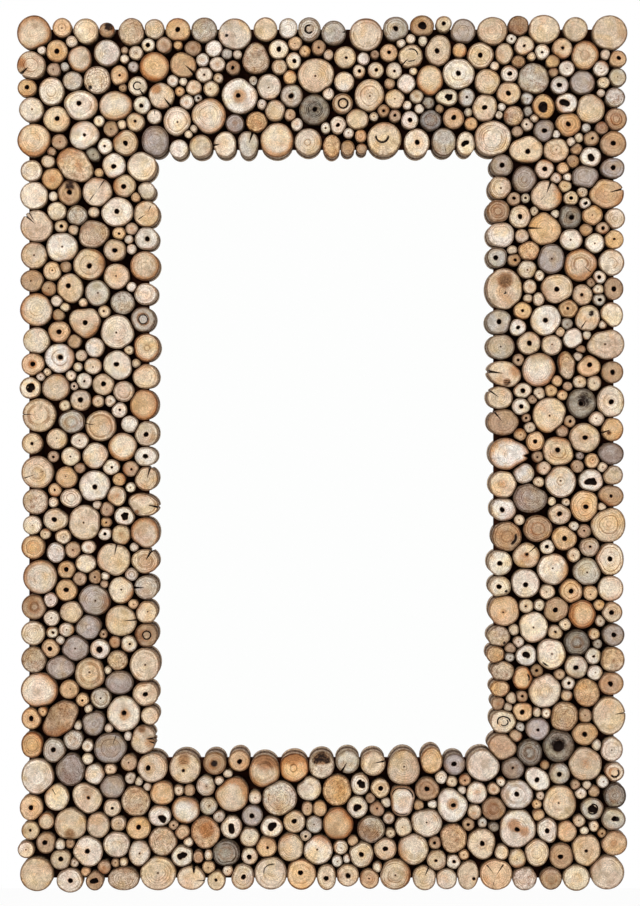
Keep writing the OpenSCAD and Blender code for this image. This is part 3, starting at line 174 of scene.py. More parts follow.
    "bs": [(202, -284), (-180, 466), (-147, 462), (320, 371), (-248, -471), (56, -392), (-236, -214)],
    "bw": [(-245, 483), (-158, 443), (325, 296), (212, -94)],
    "k.": [(122, 400), (236, 390), (197, -425)],
    "kH": [(271, -332)],
    "kO": [(-8, 392), (283, 270), (297, 58)],
    "kT": [(125, 380), (238, -340), (335, -389), (292, -215), (-109, -455)],
    "kd": [(-261, 341)],
}

# Tone of the sanded wood for each first letter, as display red, green and blue
TONES = {
    "c": (248, 238, 223), "p": (242, 227, 206), "t": (231, 210, 183), "h": (232, 197, 155),
    "g": (216, 208, 194), "v": (198, 185, 176), "b": (202, 172, 141), "k": (188, 180, 166),
}

# How blotchy each tone is, at least and at most, and how black it is all over and at the rim
BLOTCHES = {"k": (0.5, 0.9), "g": (0.25, 0.6), "v": (0.3, 0.65), "b": (0.15, 0.5), "h": (0.05, 0.3)}
WEATHER = {"k": (0.1, 0.24), "v": (0.06, 0.16), "g": (0.05, 0.12)}

# Slices neither round nor oval, as (form, amount, direction in degrees). An egg narrows that
# way, a corner form has a corner there, and a flat is cut off there.
FORMS = {
    (-75, 450): ("corner", 0.1, 90), (-84, 352): ("egg", 0.16, 270), (-268, -391): ("egg", 0.14, 135),
    (-270, 150): ("corner", 0.1, 270), (-261, 250): ("corner", 0.08, 250), (323, 125): ("egg", 0.14, 180),
    (332, 325): ("egg", 0.1, 180), (280, 101): ("egg", 0.18, 270), (234, 347): ("egg", 0.12, 180),
    (134, 460): ("egg", 0.08, 60), (143, 406): ("egg", 0.16, 180), (215, 0): ("egg", 0.1, 0),
    (-303, -75): ("flat", 0.14, 45), (183, -443): ("corner", 0.09, 60), (120, -419): ("flat", 0.12, 90),
    (-14, -381): ("flat", 0.16, 135), (94, -357): ("egg", 0.1, 90), (270, 3): ("flat", 0.08, 0),
    (-204, -325): ("flat", 0.1, 0), (-271, 362): ("egg", 0.08, 250),
}

# Straight cracks, as (direction in degrees, inner end, outer end, width at the rim in mm).
# The ends are shares of the way to the rim.
CRACKS = {
    (-84, 352): [(72, 0, 1, 2)], (-149, -483): [(90, 0.5, 1, 2.4), (0, 0.2, 1, 1)],
    (-204, -325): [(4, 0.3, 1, 2.6), (340, 0.5, 1, 1.4)], (257, 294): [(70, 0, 1, 2), (225, 0, 0.5, 1)],
    (255, 257): [(179, 0, 1, 1.7)], (-229, -190): [(4, 0, 1, 1.3)], (-202, -122): [(60, 0.1, 1, 2.2)],
    (-200, -152): [(180, 0.1, 1, 1.8)], (-200, -28): [(75, 0, 1, 1.6)],
    (-325, 259): [(140, 0.1, 1, 1.6), (122, 0.3, 1, 1)], (-183, 408): [(308, 0.1, 1, 2)],
    (-256, 298): [(55, 0, 0.95, 1), (232, 0, 0.8, 1)], (118, -483): [(65, 0, 1, 1.5)],
    (200, -479): [(55, 0, 0.8, 1.4), (130, 0.1, 0.9, 0.8), (255, 0.1, 0.7, 0.8)],
    (30, -350): [(240, 0, 1, 1.8)], (59, -352): [(10, 0, 1, 1.5)], (208, 36): [(130, 0, 1, 1.5)],
    (204, 64): [(145, 0, 1, 1.4)], (210, 91): [(172, 0.1, 1, 2)], (325, 296): [(15, 0.2, 1, 1.4)],
    (-158, 443): [(318, 0, 1, 2.2)], (-331, 443): [(222, 0.3, 1, 2.6)], (-302, -391): [(120, 0, 0.8, 1)],
    (234, -116): [(40, 0.1, 1, 1.2)], (-237, -120): [(80, 0.3, 1, 1.2)], (-204, -58): [(347, 0.3, 1, 1.5)],
    (304, 154): [(235, 0.1, 0.9, 1.2)], (328, -298): [(8, 0.3, 1, 1)], (332, 28): [(200, 0.1, 1, 1.6)],
    (215, 0): [(358, 0.82, 1, 3)], (-210, 419): [(305, 0.4, 1, 1.2)], (-110, 352): [(185, 0.55, 1, 1.6)],
    (8, 410): [(75, 0, 0.9, 0.7)], (14, 480): [(5, 0.7, 1, 1)], (140, 355): [(280, 0, 0.6, 0.8)],
    (-200, 273): [(215, 0, 0.8, 1), (62, 0, 0.7, 1)], (-322, 44): [(180, 0.3, 1, 0.8)],
    (-324, -21): [(200, 0, 0.9, 0.9), (20, 0, 0.4, 0.9)], (-252, 32): [(170, 0.4, 1, 0.8)],
    (-241, -335): [(70, 0.1, 0.9, 0.7)], (-191, 384): [(85, 0, 0.9, 0.7)],
    (296, 215): [(320, 0.2, 0.9, 0.8)], (102, 453): [(225, 0.3, 1, 1.2)],
}

# Curved cracks along the rings, as (share of the radius, from, to in degrees, width in mm)
ARCS = {
    (72, 358): [(0.36, 190, 355, 2.2)], (102, 453): [(0.6, 5, 110, 1.4), (0.45, 230, 330, 1.2)],
    (208, -304): [(0.5, 0, 200, 1.4), (0.28, 200, 420, 1.2)], (-58, -478): [(0.5, 75, 200, 1)],
    (212, -94): [(0.6, 290, 385, 3.4)], (-14, 484): [(0.32, 60, 330, 2)], (24, 399): [(0.45, 0, 360, 2)],
    (253, 395): [(0.35, 40, 320, 3)], (-204, 153): [(0.35, 0, 360, 1.2)],
    (-332, 75): [(0.35, 0, 300, 1.8)], (262, -227): [(0.8, 215, 260, 2.2)],
    (309, -404): [(0.45, 200, 470, 1.6)], (-210, 419): [(0.4, 20, 330, 1.4)],
    (-200, -206): [(0.34, 0, 360, 1.6)], (334, -362): [(0.42, 200, 420, 1.8)],
    (230, -255): [(0.62, 330, 420, 1.6)], (92, -395): [(0.84, 20, 150, 1.2), (0.84, 220, 300, 1)],
}

# Patches, as (x and z from the middle in mm, radius in mm, stain, darkness)
PATCHES = {
    (209, 188): [(0, 9, 9, 1, 0.4), (0, -5, 1.2, 0, 0.8)],
    (0, -354): [(-6, 6, 5, 1, 0.6), (0, 9, 7, 1, 0.65), (6, 6, 5, 1, 0.6)],
    (333, -416): [(3, 1, 3, 0.3, 0.9)], (-65, -361): [(2, 12, 13, 0.8, 0.2)],
    (-31, -357): [(-2, 13, 12, 0.9, 0.25)], (210, 91): [(1, -9, 4.5, 1, 0.5), (9, 3, 8, 0.6, 0)],
    (-286, -422): [(0, -10, 7, 0.8, 0.3)], (271, -332): [(-2, 2, 11, 0.3, 0.6)],
    (-93, 408): [(0, -1, 9, 1, 0)], (149, -399): [(0, 1, 8, 0.9, 0)],
    (224, -427): [(-5, 5, 8, 1, 0.1), (7, -2, 7, 0.9, 0)], (-226, -296): [(2, 0, 8, 0.8, 0)],
    (297, 58): [(3, 5, 10, 0.2, 0.5)], (-288, 297): [(2, 8, 6, 0.8, 0.6)],
    (-99, 478): [(-9, -2, 1.8, 0.2, 0.9)], (-183, 408): [(-5, 7, 7, 0.9, 0)],
    (-331, 443): [(-10, 2, 7, 0.9, 0)], (-245, 483): [(3, 3, 5, 0.9, 0.7)],
    (-256, 426): [(-7, -9, 2.4, 0.5, 0.8)], (-156, -357): [(0, 10, 8, 0.9, 0.25)],
    (-122, -352): [(0, 0, 4, 1, 0.8)], (-204, -325): [(0, 12, 5, 1, 0.3), (9, -3, 7, 0.8, 0)],
    (-204, -58): [(-6, -8, 3, 1, 0.3)], (-8, 392): [(0, 0, 13, 0, 0.42)],
    (203, -208): [(5, -7, 1.8, 0.3, 0.8)], (204, -151): [(6, -5, 1.6, 0, 0.9)],
    (304, 154): [(3, 6, 3, 0.4, 0.9)], (-181, -441): [(0, 0, 11, 0.3, 0)],
    (-286, -359): [(0, 0, 14, 0.2, 0.12)], (234, -116): [(-4, -3, 8, 0.6, 0)],
    (57, -428): [(0, -3, 11, 0.6, 0.2)], (-329, 102): [(0, 0, 6, 0.8, 0.1)],
    (-268, -391): [(2, 6, 9, 0.5, 0.2)], (273, -31): [(4, 8, 5, 0.4, 0.1)],
    (-133, -431): [(3, 2, 9, 0.9, 0)], (332, 28): [(-5, -4, 3, 1, 0.5)], (-284, 37): [(2, 4, 8, 0, 0.15)],
    (283, 270): [(0, 0, 6, 0, 0.4)],
}

# Places of holes that are clearly off the middle, in mm from it
PITHS = {
    (234, 347): (2, -3), (167, -479): (7, -4), (-275, 397): (-2, 2), (-93, 408): (-2, 0),
    (143, 406): (3, 0), (209, 188): (0, -6), (-58, -478): (3, 3), (-287, 188): (-2, 3), (72, 358): (-4, 6),
    (-193, -357): (-5, 0), (-185, -412): (3, -3), (-156, -357): (-2, -3), (-149, -483): (3, -3),
}

# Camera and light
CAMERA_PLACE = (-0.010, -3.9, 0.062)
LENS = 135.52
CAMERA_SHIFT = (0.0081, -0.0591)
# A wall mirror hangs with its middle about this high above the floor
HANG_HEIGHT = 1.5
FLOOR_HALF = 7.0
AMBIENT = 0.36


def add_object(name, data):
    ob = bpy.data.objects.new(name, data)
    bpy.context.scene.collection.objects.link(ob)
    return ob


def add_camera():
    camera = add_object("camera", bpy.data.cameras.new("camera"))
    camera.location = CAMERA_PLACE
    camera.rotation_euler = (math.pi / 2, 0, 0)
    camera.data.lens = LENS
    camera.data.shift_x, camera.data.shift_y = CAMERA_SHIFT
    bpy.context.scene.camera = camera


def add_lamp(name, place, size, power):
    light = bpy.data.lights.new(name, "AREA")
    light.shape = "DISK"
    light.size = size
    light.energy = power
    lamp = add_object(name, light)
    lamp.location = place
    lamp.rotation_euler = (-Vector(place)).to_track_quat("-Z", "Y").to_euler()


# Node trees
class Tree:
    """Nodes of a material or the world. An input is another node's socket or a plain value."""

    def __init__(self, name, kind="materials", shader="Principled BSDF"):
        self.owner = getattr(bpy.data, kind).new(name)
        self.owner.use_nodes = True
        self.nodes = self.owner.node_tree.nodes
        self.shader = self.nodes[shader]

    def put(self, socket, value):
        if isinstance(value, bpy.types.NodeSocket):
            self.owner.node_tree.links.new(value, socket)
        elif value is not None:
            socket.default_value = (*value, 1) if socket.type == "RGBA" else value

    def add(self, kind, inputs=None, **settings):
        node = self.nodes.new("ShaderNode" + kind)
        for key, value in settings.items():
            setattr(node, key, value)
        for key, value in (inputs or {}).items():
            self.put(node.inputs[key], value)
        return node

    def attribute(self, name):
        return self.add("Attribute", attribute_name=name).outputs

    def where(self):
        return self.add("TexCoord").outputs["Object"]

    def scaled(self, vector, scale):
        return self.add("VectorMath", {0: vector, 1: scale}, operation="MULTIPLY").outputs[0]

    def noise(self, vector, scale, detail=3, rough=0.5):
        inputs = {"Vector": vector, "Scale": scale, "Detail": detail, "Roughness": rough}
        return self.add("TexNoise", inputs).outputs["Fac"]

    def math(self, operation, a, b=None, c=None, clamp=False):
        return self.add("Math", {0: a, 1: b, 2: c}, operation=operation, use_clamp=clamp).outputs[0]

    def times(self, a, b):
        return self.math("MULTIPLY", a, b)

    def line(self, value, slope, start):
        return self.math("MULTIPLY_ADD", value, slope, start)

    def step(self, value, low, high, start=0.0, end=1.0):
        """Goes smoothly from start at low to end at high, where low may lie above high"""
        if low > high:
            low, high, start, end = high, low, end, start
        inputs = {"Value": value, "From Min": low, "From Max": high, "To Min": start, "To Max": end}
        return self.add("MapRange", inputs, interpolation_type="SMOOTHSTEP").outputs["Result"]

    def mix(self, share, a, b, blend="MIX"):
        return self.add("Mix", {0: share, 6: a, 7: b}, data_type="RGBA", blend_type=blend).outputs[2]

    def shade(self, colour, amount):
        """The colour times a grey amount"""
        return self.add("VectorMath", {0: colour, "Scale": amount}, operation="SCALE").outputs[0]

    def tint(self, colour, share, red, green, blue):
        """The colour darkened by a display colour as far as the share says"""
        return self.mix(share, colour, self.mix(1.0, colour, linear(red, green, blue), "MULTIPLY"))

    def bump(self, height, distance, strength):
        node = self.add("Bump", {"Height": height, "Distance": distance, "Strength": strength})
        self.put(self.shader.inputs["Normal"], node.outputs[0])

    def finish(self, **values):
        for name, value in values.items():
            self.put(self.shader.inputs[name.replace("_", " ")], value)
        return self.owner

    def seen(self):
        """1 where the camera looks, straight or by gloss or glass, and 0 for light cast"""
        path = self.add("LightPath").outputs
        seen = self.math("MAXIMUM", path["Is Camera Ray"], path["Is Glossy Ray"])
        return self.math("MAXIMUM", seen, path["Is Transmission Ray"])


def linear(red, green, blue):
    """A display colour from 0 to 255 as the linear colour that the nodes mix"""
    return tuple(
        v / 12.92 if v <= 0.04045 else ((v + 0.055) / 1.055) ** 2.4
        for v in (red / 255, green / 255, blue / 255)
    )


class SliceWood(Tree):
    """Sanded end grain with rings, rays, stains, cracks and a weathered side, with painted shade at the
    rims, in holes and cracks and down the side
    """

    def __init__(self):
        super().__init__("driftwood")
        self.place = self.attribute("place")["Vector"]
        self.tone = self.attribute("tone")["Color"]
        marks = self.attribute("marks")
        self.stain, self.dark, self.side = self.add("SeparateColor", {0: marks["Color"]}).outputs
        self.ray_depth = marks["Alpha"]
        self.ring, self.ring_depth, self.mottle, self.edge, self.rim = (
            self.attribute(name)["Fac"] for name in ("ring", "ring_depth", "mottle", "edge", "rim")
        )
        self.hue = self.noise(self.place, 48, 2)
        self.zone = self.noise(self.place, 55, 2)
        self.broad = self.noise(self.place, 130, 3)
        self.wide = self.noise(self.place, 260, 4, 0.65)
        self.patchy = self.noise(self.place, 420, 4, 0.6)
        self.grain = self.noise(self.place, 800, 2, 0.7)
        self.fine = self.noise(self.place, 1700, 3, 0.65)

    def rings(self):
        """Growth rings of uneven width, bent by the noise and worn away in places"""
        turn = self.line(self.patchy, 0.8, self.line(self.broad, 1.6, self.ring))
        spot = self.add("CombineXYZ", {"X": turn, "Y": self.times(self.mottle, 90.0)}).outputs[0]
        late = self.step(self.noise(spot, 1.25, 2, 0.7), 0.49, 0.62)
        late = self.times(late, self.step(self.zone, 0.3, 0.55))
        return self.times(late, self.step(self.ring, 0.3, 2.4, 0.25))

    def clouds(self, colour):
        """Warm, grey, yellow and pink clouds, and rays from the pith"""
        colour = self.tint(colour, self.step(self.zone, 0.47, 0.68, 0, 0.65), 249, 228, 196)
        colour = self.tint(colour, self.step(self.zone, 0.46, 0.28, 0, 0.9), 214, 206, 196)
        colour = self.shade(colour, self.step(self.broad, 0.3, 0.7, 0.87, 1.11))
        colour = self.tint(colour, self.step(self.hue, 0.5, 0.66), 253, 249, 235)
        colour = self.tint(colour, self.step(self.hue, 0.5, 0.34), 249, 240, 238)
        rays = self.noise(self.attribute("spoke")["Vector"], 1.0, 3, 0.6)
        return self.tint(colour, self.times(self.step(rays, 0.52, 0.72), self.ray_depth), 150, 118, 88)

    def blotches(self, colour):
        """Blotches where the wood is mottled, fine grain, creases and specks"""
        blotch = self.step(self.line(self.grain, 0.35, self.wide), 0.71, 0.81)
        colour = self.tint(colour, self.times(blotch, self.mottle), 142, 106, 78)
        colour = self.shade(colour, self.step(self.patchy, 0.3, 0.7, 0.92, 1.14))
        colour = self.shade(colour, self.step(self.fine, 0.3, 0.7, 0.83, 1.21))
        colour = self.shade(colour, self.step(self.grain, 0.38, 0.62, 0.83, 1.21))
        off_crease = self.math("ABSOLUTE", self.math("SUBTRACT", self.wide, 0.5))
        much = self.math("ADD", self.mottle, 0.2)
        crease = self.math("MULTIPLY", self.step(off_crease, 0.022, 0.004), much, clamp=True)
        colour = self.tint(colour, crease, 128, 90, 60)
        specks = self.noise(self.place, 700, 3, 0.75)
        return self.tint(colour, self.step(specks, 0.62, 0.70, 0, 0.45), 150, 112, 78)

    def stains(self, colour):
        ragged = self.math("ADD", self.stain, self.line(self.patchy, 0.9, -0.45))
        return self.tint(colour, self.step(ragged, 0.1, 0.95, 0, 0.85), 208, 162, 118)

    def rim_wear_and_shade(self, colour):
        """Browner towards the edge, partly worn wood and partly painted shade of the rounded rim, with a
        broken dark line and painted shade on the very edge
        """
        # Painted shade: the outer part of the face is browner and darker, as the rim rounds away
        near = self.line(self.patchy, 0.9, self.math("SUBTRACT", self.rim, 0.45))
        colour = self.tint(colour, self.step(near, 0.95, -0.1, 0, 0.8), 158, 132, 104)
        from_edge = self.line(self.patchy, 1.6, self.math("SUBTRACT", self.edge, 0.8))
        off_line = self.math("ABSOLUTE", self.math("SUBTRACT", from_edge, 1.3))
        line = self.times(self.step(off_line, 0.55, 0.1), self.step(self.broad, 0.34, 0.5, 0, 0.85))
        colour = self.tint(colour, line, 104, 68, 40)
        # Painted shade on the very edge of the face, broken by the noise
        edge_shade = self.times(self.step(self.edge, 0.75, 0.1), self.step(self.patchy, 0.25, 0.5, 0, 0.85))
        return self.tint(colour, edge_shade, 120, 92, 70)

    def weathered_side_and_shade(self):
        """The streaky side, with painted shade that darkens it towards the board, deep between the slices
        """
        streaks = self.noise(self.scaled(self.place, (500, 60, 500)), 1.0, 4, 0.6)
        bark = self.mix(0.5, self.tint(self.tone, 1.0, 220, 200, 174), linear(192, 178, 156))
        old = self.mix(1.0, bark, linear(176, 156, 132), "MULTIPLY")
        colour = self.mix(self.step(streaks, 0.34, 0.66), old, bark)
        # Painted shade: the side darkens from 3 to 24 mm down, where the slices crowd in front of the board
        return self.tint(colour, self.step(self.edge, -3.0, -24.0), 120, 92, 68)

    def holes(self, colour, late):
        """Holes and cracks painted near black as shade, and dark rotted places, darkest along the rings"""
        uneven = self.times(self.dark, self.line(late, 0.9, self.line(self.patchy, 2.2, -0.1)))
        # The dark mark paints shade into holes and cracks, and gives patches and weathered slices their own
        # dark
        return self.mix(self.step(uneven, 0.05, 0.7), colour, linear(28, 13, 6))


def slice_wood():
    wood = SliceWood()
    late = wood.rings()
    colour = wood.tint(wood.tone, wood.times(late, wood.ring_depth), 168, 134, 98)
    colour = wood.rim_wear_and_shade(wood.stains(wood.blotches(wood.clouds(colour))))
    colour = wood.holes(wood.mix(wood.side, colour, wood.weathered_side_and_shade()), late)
    wood.bump(wood.math("ADD", wood.line(late, -0.35, wood.fine), wood.patchy), 0.0003, 0.6)
    return wood.finish(Base_Color=colour, Roughness=0.75, Specular_IOR_Level=0.2)


def stained_board(name, fineness):
    """Dark stained softwood. Its grain is coarse along the board and fine across it."""
    tree = Tree(name)
    place = tree.where()
    grain = tree.noise(tree.scaled(place, fineness), 1.0, 4, 0.6)
    cloud = tree.noise(place, 9, 3)
    colour = tree.mix(tree.step(grain, 0.35, 0.68), linear(40, 16, 6), linear(66, 30, 13))
    colour = tree.shade(colour, tree.line(cloud, 0.5, 0.75))
    tree.bump(grain, 0.0003, 0.6)
    return tree.finish(Base_Color=colour, Roughness=0.8, Specular_IOR_Level=0.12)


def mirror():
    """Silvered on the front face, grey on the back, green at the ground edges"""
    tree = Tree("mirror")
    normal = tree.add("SeparateXYZ", {0: tree.add("TexCoord").outputs["Normal"]}).outputs["Y"]
    front = tree.step(normal, -0.5, -0.9)
    back = tree.step(normal, 0.5, 0.9)
    colour = tree.mix(front, linear(70, 120, 100), (0.985, 0.99, 0.985))
    colour = tree.mix(back, colour, linear(104, 104, 100))
    rough = tree.line(front, -0.35, 0.36)
    return tree.finish(Base_Color=colour, Metallic=front, Roughness=rough)


def paper():
    tree = Tree("packing")
    fibres = tree.noise(tree.scaled(tree.where(), (700, 700, 900)), 1.0, 4, 0.7)
    colour = tree.mix(fibres, linear(196, 180, 150), linear(222, 208, 180))
    tree.bump(fibres, 0.0001, 0.5)
    return tree.finish(Base_Color=colour, Roughness=0.9, Specular_IOR_Level=0.2)


def hardboard():
    """Pressed brown fibre board with a pebbled surface"""
    tree = Tree("hardboard")
    place = tree.where()
    fibres = tree.noise(place, 650, 5, 0.7)
    cloud = tree.noise(place, 14, 3)
    flecks = tree.step(tree.noise(place, 1500, 2), 0.62, 0.72, 0, 0.5)
    colour = tree.mix(fibres, linear(96, 62, 36), linear(142, 98, 60))
    colour = tree.mix(flecks, colour, linear(178, 136, 92))
    colour = tree.shade(colour, tree.line(cloud, 0.36, 0.82))
    tree.bump(fibres, 0.0002, 0.6)
    return tree.finish(Base_Color=colour, Roughness=0.62, Specular_IOR_Level=0.35)


def metal(name, bright, dull, rough):
    """Plain sheet metal or wire with tarnish and fine scratches"""
    tree = Tree(name)
    place = tree.where()
    cloud = tree.noise(place, 160, 4, 0.6)
    scratches = tree.noise(tree.scaled(place, (300, 900, 6000)), 1.0, 3, 0.7)
    colour = tree.mix(tree.step(cloud, 0.4, 0.66), bright, dull)
    roughness = tree.line(scratches, 0.22, rough)
    tree.bump(scratches, 0.00004, 0.5)
    return tree.finish(Base_Color=colour, Metallic=1.0, Roughness=roughness)


def rubber():
    tree = Tree("rubber")
    specks = tree.noise(tree.where(), 1400, 3)
    colour = tree.mix(specks, linear(34, 33, 32), linear(54, 52, 50))
    tree.bump(specks, 0.0001, 0.5)
    return tree.finish(Base_Color=colour, Roughness=0.8, Specular_IOR_Level=0.3)


# Slices

# Mesh columns of a slice with a mean radius above so many mm
COLUMNS = ((13, 64), (7.75, 48), (0, 32))
# Weights that ease an outline's corners, in steps of 2 degrees, and the most it may grow in mm
EASING = (1, 3, 6, 9, 10, 9, 6, 3, 1)
EASED_PAST = 0.15
# Waves round a branch and the most that each takes off
BENDS = ((2, 0.012), (3, 0.02), (4, 0.012), (5, 0.01), (7, 0.006))


def solids(ob):
    """The solids of a CAD node, each as its outline on the board, its front and its back in mm"""
    points = np.empty(len(ob.data.vertices) * 3)
    ob.data.vertices.foreach_get("co", points)
    points = points.reshape(-1, 3) / MM
    spot = np.unique(points.round(3), axis=0, return_inverse=True)[1].ravel().tolist()
    parent = list(range(len(spot)))

    def top(i):
        while parent[i] != i:
            parent[i] = parent[parent[i]]
            i = parent[i]
        return i

    for face in ob.data.polygons:
        first, *others = (top(spot[v]) for v in face.vertices)
        for other in others:
            parent[top(other)] = top(first)
    members = {}
    for i, k in enumerate(spot):
        members.setdefault(top(k), []).append(i)
    for group in members.values():
        own = points[group]
        back = own[:, 1].max()
        ring = np.unique(own[own[:, 1] > back - 0.01][:, [0, 2]].round(3), axis=0)
        middle = (ring.min(0) + ring.max(0)) / 2
        turn = np.arctan2(*(ring - middle).T[::-1])
        yield ring[np.argsort(turn)], own[:, 1].min(), back


def reach(outline, pith, angles):
    """Distance from the pith to the outline in each direction, with its corners eased"""
    following = np.roll(outline, -1, axis=0)
    dense = np.concatenate([outline + (following - outline) * t for t in np.arange(0, 1, 0.125)]) - pith
    turn = np.degrees(np.arctan2(dense[:, 1], dense[:, 0]))
    order = np.argsort(turn)
    spots = np.arange(0, 360, 2.0)
    near = np.interp(spots, turn[order], np.hypot(*dense.T)[order], period=360)
    shifted = [np.roll(near, shift) * weight for shift, weight in zip(range(-4, 5), EASING)]
    soft = sum(shifted) / sum(EASING)
    return np.interp(angles, spots, np.minimum(soft, near + EASED_PAST), period=360)


def eased(outline, pith, angles):
    """The reach averaged over 35 degrees, so that the corners of crowded slices wear round"""
    grid = np.arange(0, 360, 5)
    far = reach(outline, pith, grid)
    soft = np.convolve(np.concatenate([far[-3:], far, far[:3]]), np.ones(7) / 7, "valid")
    return np.interp(angles, grid, soft, period=360)


def bent(angles, rng, form):
    """Share of the reach that an uneven branch fills in each direction"""
    share = np.ones_like(angles)
    for waves, most in BENDS:
        amount = most * rng.random()
        share -= amount * (1 + np.cos(np.radians(waves * angles + 360 * rng.random()))) / 2
    if form:
        kind, amount, direction = form
        off = np.radians(angles - direction)
        if kind == "egg":
            share -= amount * np.sin(off) ** 2 * (1 + np.cos(off)) / 2 * 1.6
        if kind == "corner":
            share -= amount * (1 - np.cos(3 * off)) / 2
        if kind == "flat":
            share = np.minimum(share, (1 - amount) / np.maximum(np.cos(off), 0.3))
    return share


def columns(count, cracks, radius):
    """Directions of the mesh columns, and for each how deep it lies in which crack"""
    angles = list(np.arange(count) * 360 / count)
    depth = dict.fromkeys(angles, 0.0)
    number = dict.fromkeys(angles, -1)
    for k, (direction, _, _, width) in enumerate(cracks):
        half = math.degrees(0.75 * width / radius)
        clear = [a for a in depth if abs((a - direction + 180) % 360 - 180) < half * 1.5]
        for a in clear:
            del depth[a], number[a]
        for share, deep in ((-1, 0.0), (-0.5, 0.6), (0, 1.0), (0.5, 0.6), (1, 0.0)):
            a = (direction + share * half) % 360
            depth[a] = deep
            number[a] = k
    order = sorted(depth)
    return np.array(order), np.array([depth[a] for a in order]), np.array([number[a] for a in order])


def smooth(value, low, high):
    t = np.clip((value - low) / (high - low), 0, 1)
    return t * t * (3 - 2 * t)


# Radius of a hole as shares of the slice's radius, then its least and most in mm
HOLE_R = {"d": (0.04, 0.07, 0.45, 0.8), "o": (0.11, 0.16, 0.9, 1.7), "O": (0.2, 0.27, 1.3, 2.7),
    "S": (0.13, 0.17, 1.4, 2.6)}
HOLE_DEEP = {"d": 0.8, "o": 3.5, "O": 7.5, "S": 7.0, "H": 7.5}
# How much wider than listed a crack is cut, because its sloping sides look lighter
CRACK_GAPE = 1.35
ARC_GAPE = 1.25
# Levels down the side in mm, and rings of the face and the worn rim as shares
SIDE_LEVELS = (0.6, 1.8, 4, 8, 14, 20)
FACE_SHARES = (0.08, 0.17, 0.27, 0.38, 0.49, 0.60, 0.71, 0.81, 0.90, 0.96)
RIM_SHARES = (1.0, 0.72, 0.46, 0.25, 0.1, 0.0)
# How far the rim is worn back as a share of its width, and the lip of a hole in mm
RIM_DROP = 0.85
LIP = 0.22
# How much slices of one tone differ, in display steps
TONE_SPREAD = 6
WARMTH_SPREAD = 3


